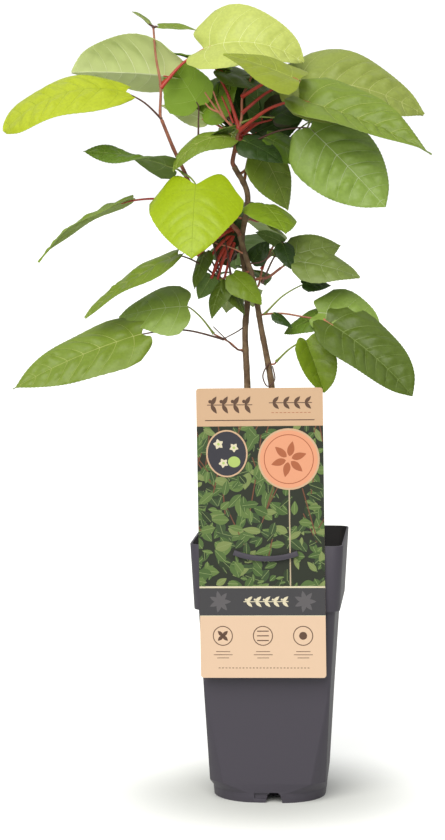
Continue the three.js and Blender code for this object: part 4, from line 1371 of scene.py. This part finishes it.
# The panel is strewn with leaves, each a little above the last, with a stalk under every few.
strewn = dict(
    count=380, seed=7, perStalk=14, margin=8, stalkTurn=(0.9, 2.2), stalkLong=(20, 44), stalkWidth=1,
    long=(6, 20), shrink=0.3, width=(0.36, 0.7), turn=(0, 6.28), kinds=6, layer=0.055, ribLong=0.92,
    ribWidth=0.35, stalkLayer=0.02, ribLayer=0.03,
)
draw = seededNumbers(strewn["seed"])
for i in range(strewn["count"]):
    layer = 2 + strewn["layer"] * i
    x = draw(-half - strewn["margin"], half)
    z = draw(layout["panelLow"] - strewn["margin"], layout["panelHigh"])
    if i % strewn["perStalk"] == 0:
        turn = draw(*strewn["stalkTurn"])
        reach = draw(*strewn["stalkLong"])
        end = (x + reach * math.cos(turn), z + reach * math.sin(turn))
        stalk = [(x, z), (x + strewn["stalkWidth"], z), (end[0] + strewn["stalkWidth"], end[1]), end]
        lay(clipped(stalk, *panel), layer + strewn["stalkLayer"], "stem")
    length = draw(*strewn["long"]) * (1 - strewn["shrink"] * i / strewn["count"])
    width = length * draw(*strewn["width"])
    turn = draw(*strewn["turn"])
    kind = "leaf " + str(1 + int(draw(0, strewn["kinds"])))
    outline = clipped(leafOutline(x, z, length, width, turn), *panel)
    if outline:
        lay(outline, layer, kind)
        reach = length * strewn["ribLong"]
        tip = (x + reach * math.cos(turn), z + reach * math.sin(turn))
        aside = (-strewn["ribWidth"] * math.sin(turn), strewn["ribWidth"] * math.cos(turn))
        rib = [(x, z), tip, (tip[0] + aside[0], tip[1] + aside[1]), (x + aside[0], z + aside[1])]
        lay(clipped(rib, *panel), layer + strewn["ribLayer"], "vein")

# A round badge, an oval and a small row of signs, as plain motifs in layers 23.9 to 33
badge = dict(x=24, z=186, size=26, rim=1.6, inner=21, line=0.7, petals=6, petalTurn=0.3, petalFoot=2.5,
             petal=(13, 6), stalk=1.1)
oval = dict(x=-28, z=191, wide=17.5, tall=20, rim=1.3, blossoms=((-7, 8, 4.5), (6, 5, 4), (-3, -8, 4.2)),
            petals=5, petalWidth=0.7, petalLayer=0.3, heart=1.1, heartSteps=12, fruit=(6, -7, 5.2, 4.6))
layLine((badge["x"], layout["panelLow"]), (badge["x"], badge["z"] - badge["size"]), badge["stalk"], 23.9,
        "stalk")
for size, layer, kind in ((badge["size"], 24, "kraft"), (badge["size"] - badge["rim"], 25, "peach")):
    lay(ellipse(badge["x"], badge["z"], size, size), layer, kind)
layRing(badge["x"], badge["z"], badge["inner"], badge["line"], 26, "rust")
layPetals(badge["x"], badge["z"], badge["petals"], badge["petalTurn"], badge["petalFoot"], badge["petal"],
          27, "rust")
for rim, layer, kind in ((0, 28, "kraft"), (oval["rim"], 29, "slate")):
    lay(ellipse(oval["x"], oval["z"], oval["wide"] - rim, oval["tall"] - rim), layer, kind)
for x, z, size in oval["blossoms"]:
    place = (oval["x"] + x, oval["z"] + z)
    petal = (size, size * oval["petalWidth"])
    layPetals(*place, oval["petals"], x, 0, petal, 30, "cream", oval["petalLayer"])
    lay(ellipse(*place, oval["heart"], oval["heart"], oval["heartSteps"]), 33, "lime")
x, z, wide, tall = oval["fruit"]
lay(ellipse(oval["x"] + x, oval["z"] + z, wide, tall), 32, "lime")

signs = dict(x=34, z=36, size=8.5, ring=0.8, rows=((22.5, 6), (19.8, 8), (17.1, 5)), row=0.55, petal=(6, 3.2),
             petals=4, bars=(32, 36, 40), barHalf=5, bar=0.9, dot=3.4, dotSteps=24)
for x in (-signs["x"], 0, signs["x"]):
    layRing(x, signs["z"], signs["size"], signs["ring"], 2, "brown")
    for z, reach in signs["rows"]:
        layLine((x - reach, z), (x + reach, z), signs["row"], 2, "brown")
layPetals(-signs["x"], signs["z"], signs["petals"], math.pi / 4, 0, signs["petal"], 3, "brown")
for z in signs["bars"]:
    layLine((-signs["barHalf"], z), (signs["barHalf"], z), signs["bar"], 3, "brown")
lay(ellipse(signs["x"], signs["z"], signs["dot"], signs["dot"], signs["dotSteps"]), 3, "brown")
rosette = dict(x=36, petals=7, petal=(9.5, 4), petalLayer=0.1)
for x in (-rosette["x"], rosette["x"]):
    layPetals(x, layout["bandMiddle"], rosette["petals"], 0, 0, rosette["petal"], 2, "grey",
              rosette["petalLayer"], band)
makePiece("card_print", printed, 30, ["label_card"])
print("card made")

# Stage, lights and camera

# The floor and the sky look whiter to the camera than the light they give, the floor only
# away from the pot, so that a soft shadow stays round the foot. The sky gives less light low at
# both sides, which shades the sides of the pot.
floorSizes = dict(reach=60000, middle=(0, -0.015, 0), shadow=(0.05, 0.19), glow=0.5)
floorMaterial = surface("studio floor", "#dddfdc", 0.9, shine=0.1)
floorTree = floorMaterial.node_tree
floorGlow = addNode(floorTree, "ShaderNodeLightPath")
floorPlace = addNode(floorTree, "ShaderNodeTexCoord")
floorReach = addNode(floorTree, "ShaderNodeVectorMath", {"operation": "DISTANCE", 1: floorSizes["middle"]},
                     {0: floorPlace.outputs["Object"]})
floorRange = addNode(floorTree, "ShaderNodeMapRange", {
    "interpolation_type": "SMOOTHSTEP", "From Min": floorSizes["shadow"][0],
    "From Max": floorSizes["shadow"][1], "To Max": floorSizes["glow"]},
    {"Value": floorReach.outputs["Value"]})
floorStrength = addNode(floorTree, "ShaderNodeMath", {"operation": "MULTIPLY"},
                        {0: floorGlow.outputs["Is Camera Ray"], 1: floorRange.outputs["Result"]})
floorShader = floorTree.nodes["Principled BSDF"]
floorShader.inputs["Emission Color"].default_value = toLinear("#ffffff")
floorTree.links.new(floorStrength.outputs["Value"], floorShader.inputs["Emission Strength"])
reach = floorSizes["reach"]
corners = [(x, y, 0) for x, y in rectangle(-reach, -reach, reach, reach)]
floorMesh = meshFrom("studioFloor", corners, [(0, 1, 2, 3)])
floorMesh.materials.append(floorMaterial)
floor = addObject("studio_floor", floorMesh)

world = bpy.data.worlds.new("studio")
bpy.context.scene.world = world
world.use_nodes = True
sky = dict(light=0.64, shown=1.1, sides=0.05, aside=(0.35, 0.75), height=(0.12, 0.5))
skyTree = world.node_tree
skyShader = skyTree.nodes["Background"]
skyShader.inputs["Color"].default_value = toLinear("#ffffff")
skyWay = addNode(skyTree, "ShaderNodeTexCoord")
skyParts = addNode(skyTree, "ShaderNodeSeparateXYZ", (), {"Vector": skyWay.outputs["Generated"]})
skyAside = addNode(skyTree, "ShaderNodeMath", {"operation": "ABSOLUTE"}, {0: skyParts.outputs["X"]})
skyFar = addNode(skyTree, "ShaderNodeMapRange", {
    "interpolation_type": "SMOOTHSTEP", "From Min": sky["aside"][0], "From Max": sky["aside"][1]},
    {"Value": skyAside.outputs["Value"]})
skyLow = addNode(skyTree, "ShaderNodeMapRange", {
    "interpolation_type": "SMOOTHSTEP", "From Min": sky["height"][0], "From Max": sky["height"][1],
    "To Min": 1, "To Max": 0}, {"Value": skyParts.outputs["Z"]})
skyDim = addNode(skyTree, "ShaderNodeMath", {"operation": "MULTIPLY"},
                 {0: skyFar.outputs["Result"], 1: skyLow.outputs["Result"]})
skyLight = addNode(skyTree, "ShaderNodeMapRange", {"To Min": sky["light"], "To Max": sky["sides"]},
                   {"Value": skyDim.outputs["Value"]})
skyPath = addNode(skyTree, "ShaderNodeLightPath")
skyStrength = addNode(skyTree, "ShaderNodeMapRange", {"To Max": sky["shown"]},
                      {"Value": skyPath.outputs["Is Camera Ray"], "To Min": skyLight.outputs["Result"]})
skyTree.links.new(skyStrength.outputs["Result"], skyShader.inputs["Strength"])

# A wide soft sun from the upper left lights the floor evenly.
sunSizes = dict(strength=2.55, spread=50, place=(-0.45, -2.1, 1.9))
sunData = bpy.data.lights.new("soft_sun", "SUN")
sunData.energy = sunSizes["strength"]
sunData.angle = math.radians(sunSizes["spread"])
sunData.color = toLinear("#fffdf6")[:3]
sun = addObject("soft_sun", sunData)
sun.location = sunSizes["place"]
sun.rotation_euler = (-Vector(sunSizes["place"])).to_track_quat("-Z", "Y").to_euler()

cameraSizes = dict(azimuth=5.06, pitch=5.4, place=(0.14527, -2.12101, 0.52604), lens=105.86)
cameraData = bpy.data.cameras.new("camera")
cameraData.lens = cameraSizes["lens"]
cameraData.dof.use_dof = False
camera = addObject("camera", cameraData)
camera.location = cameraSizes["place"]
camera.rotation_euler = (math.radians(90 - cameraSizes["pitch"]), 0, math.radians(cameraSizes["azimuth"]))
bpy.context.scene.camera = camera
bpy.context.scene.view_settings.view_transform = "Standard"
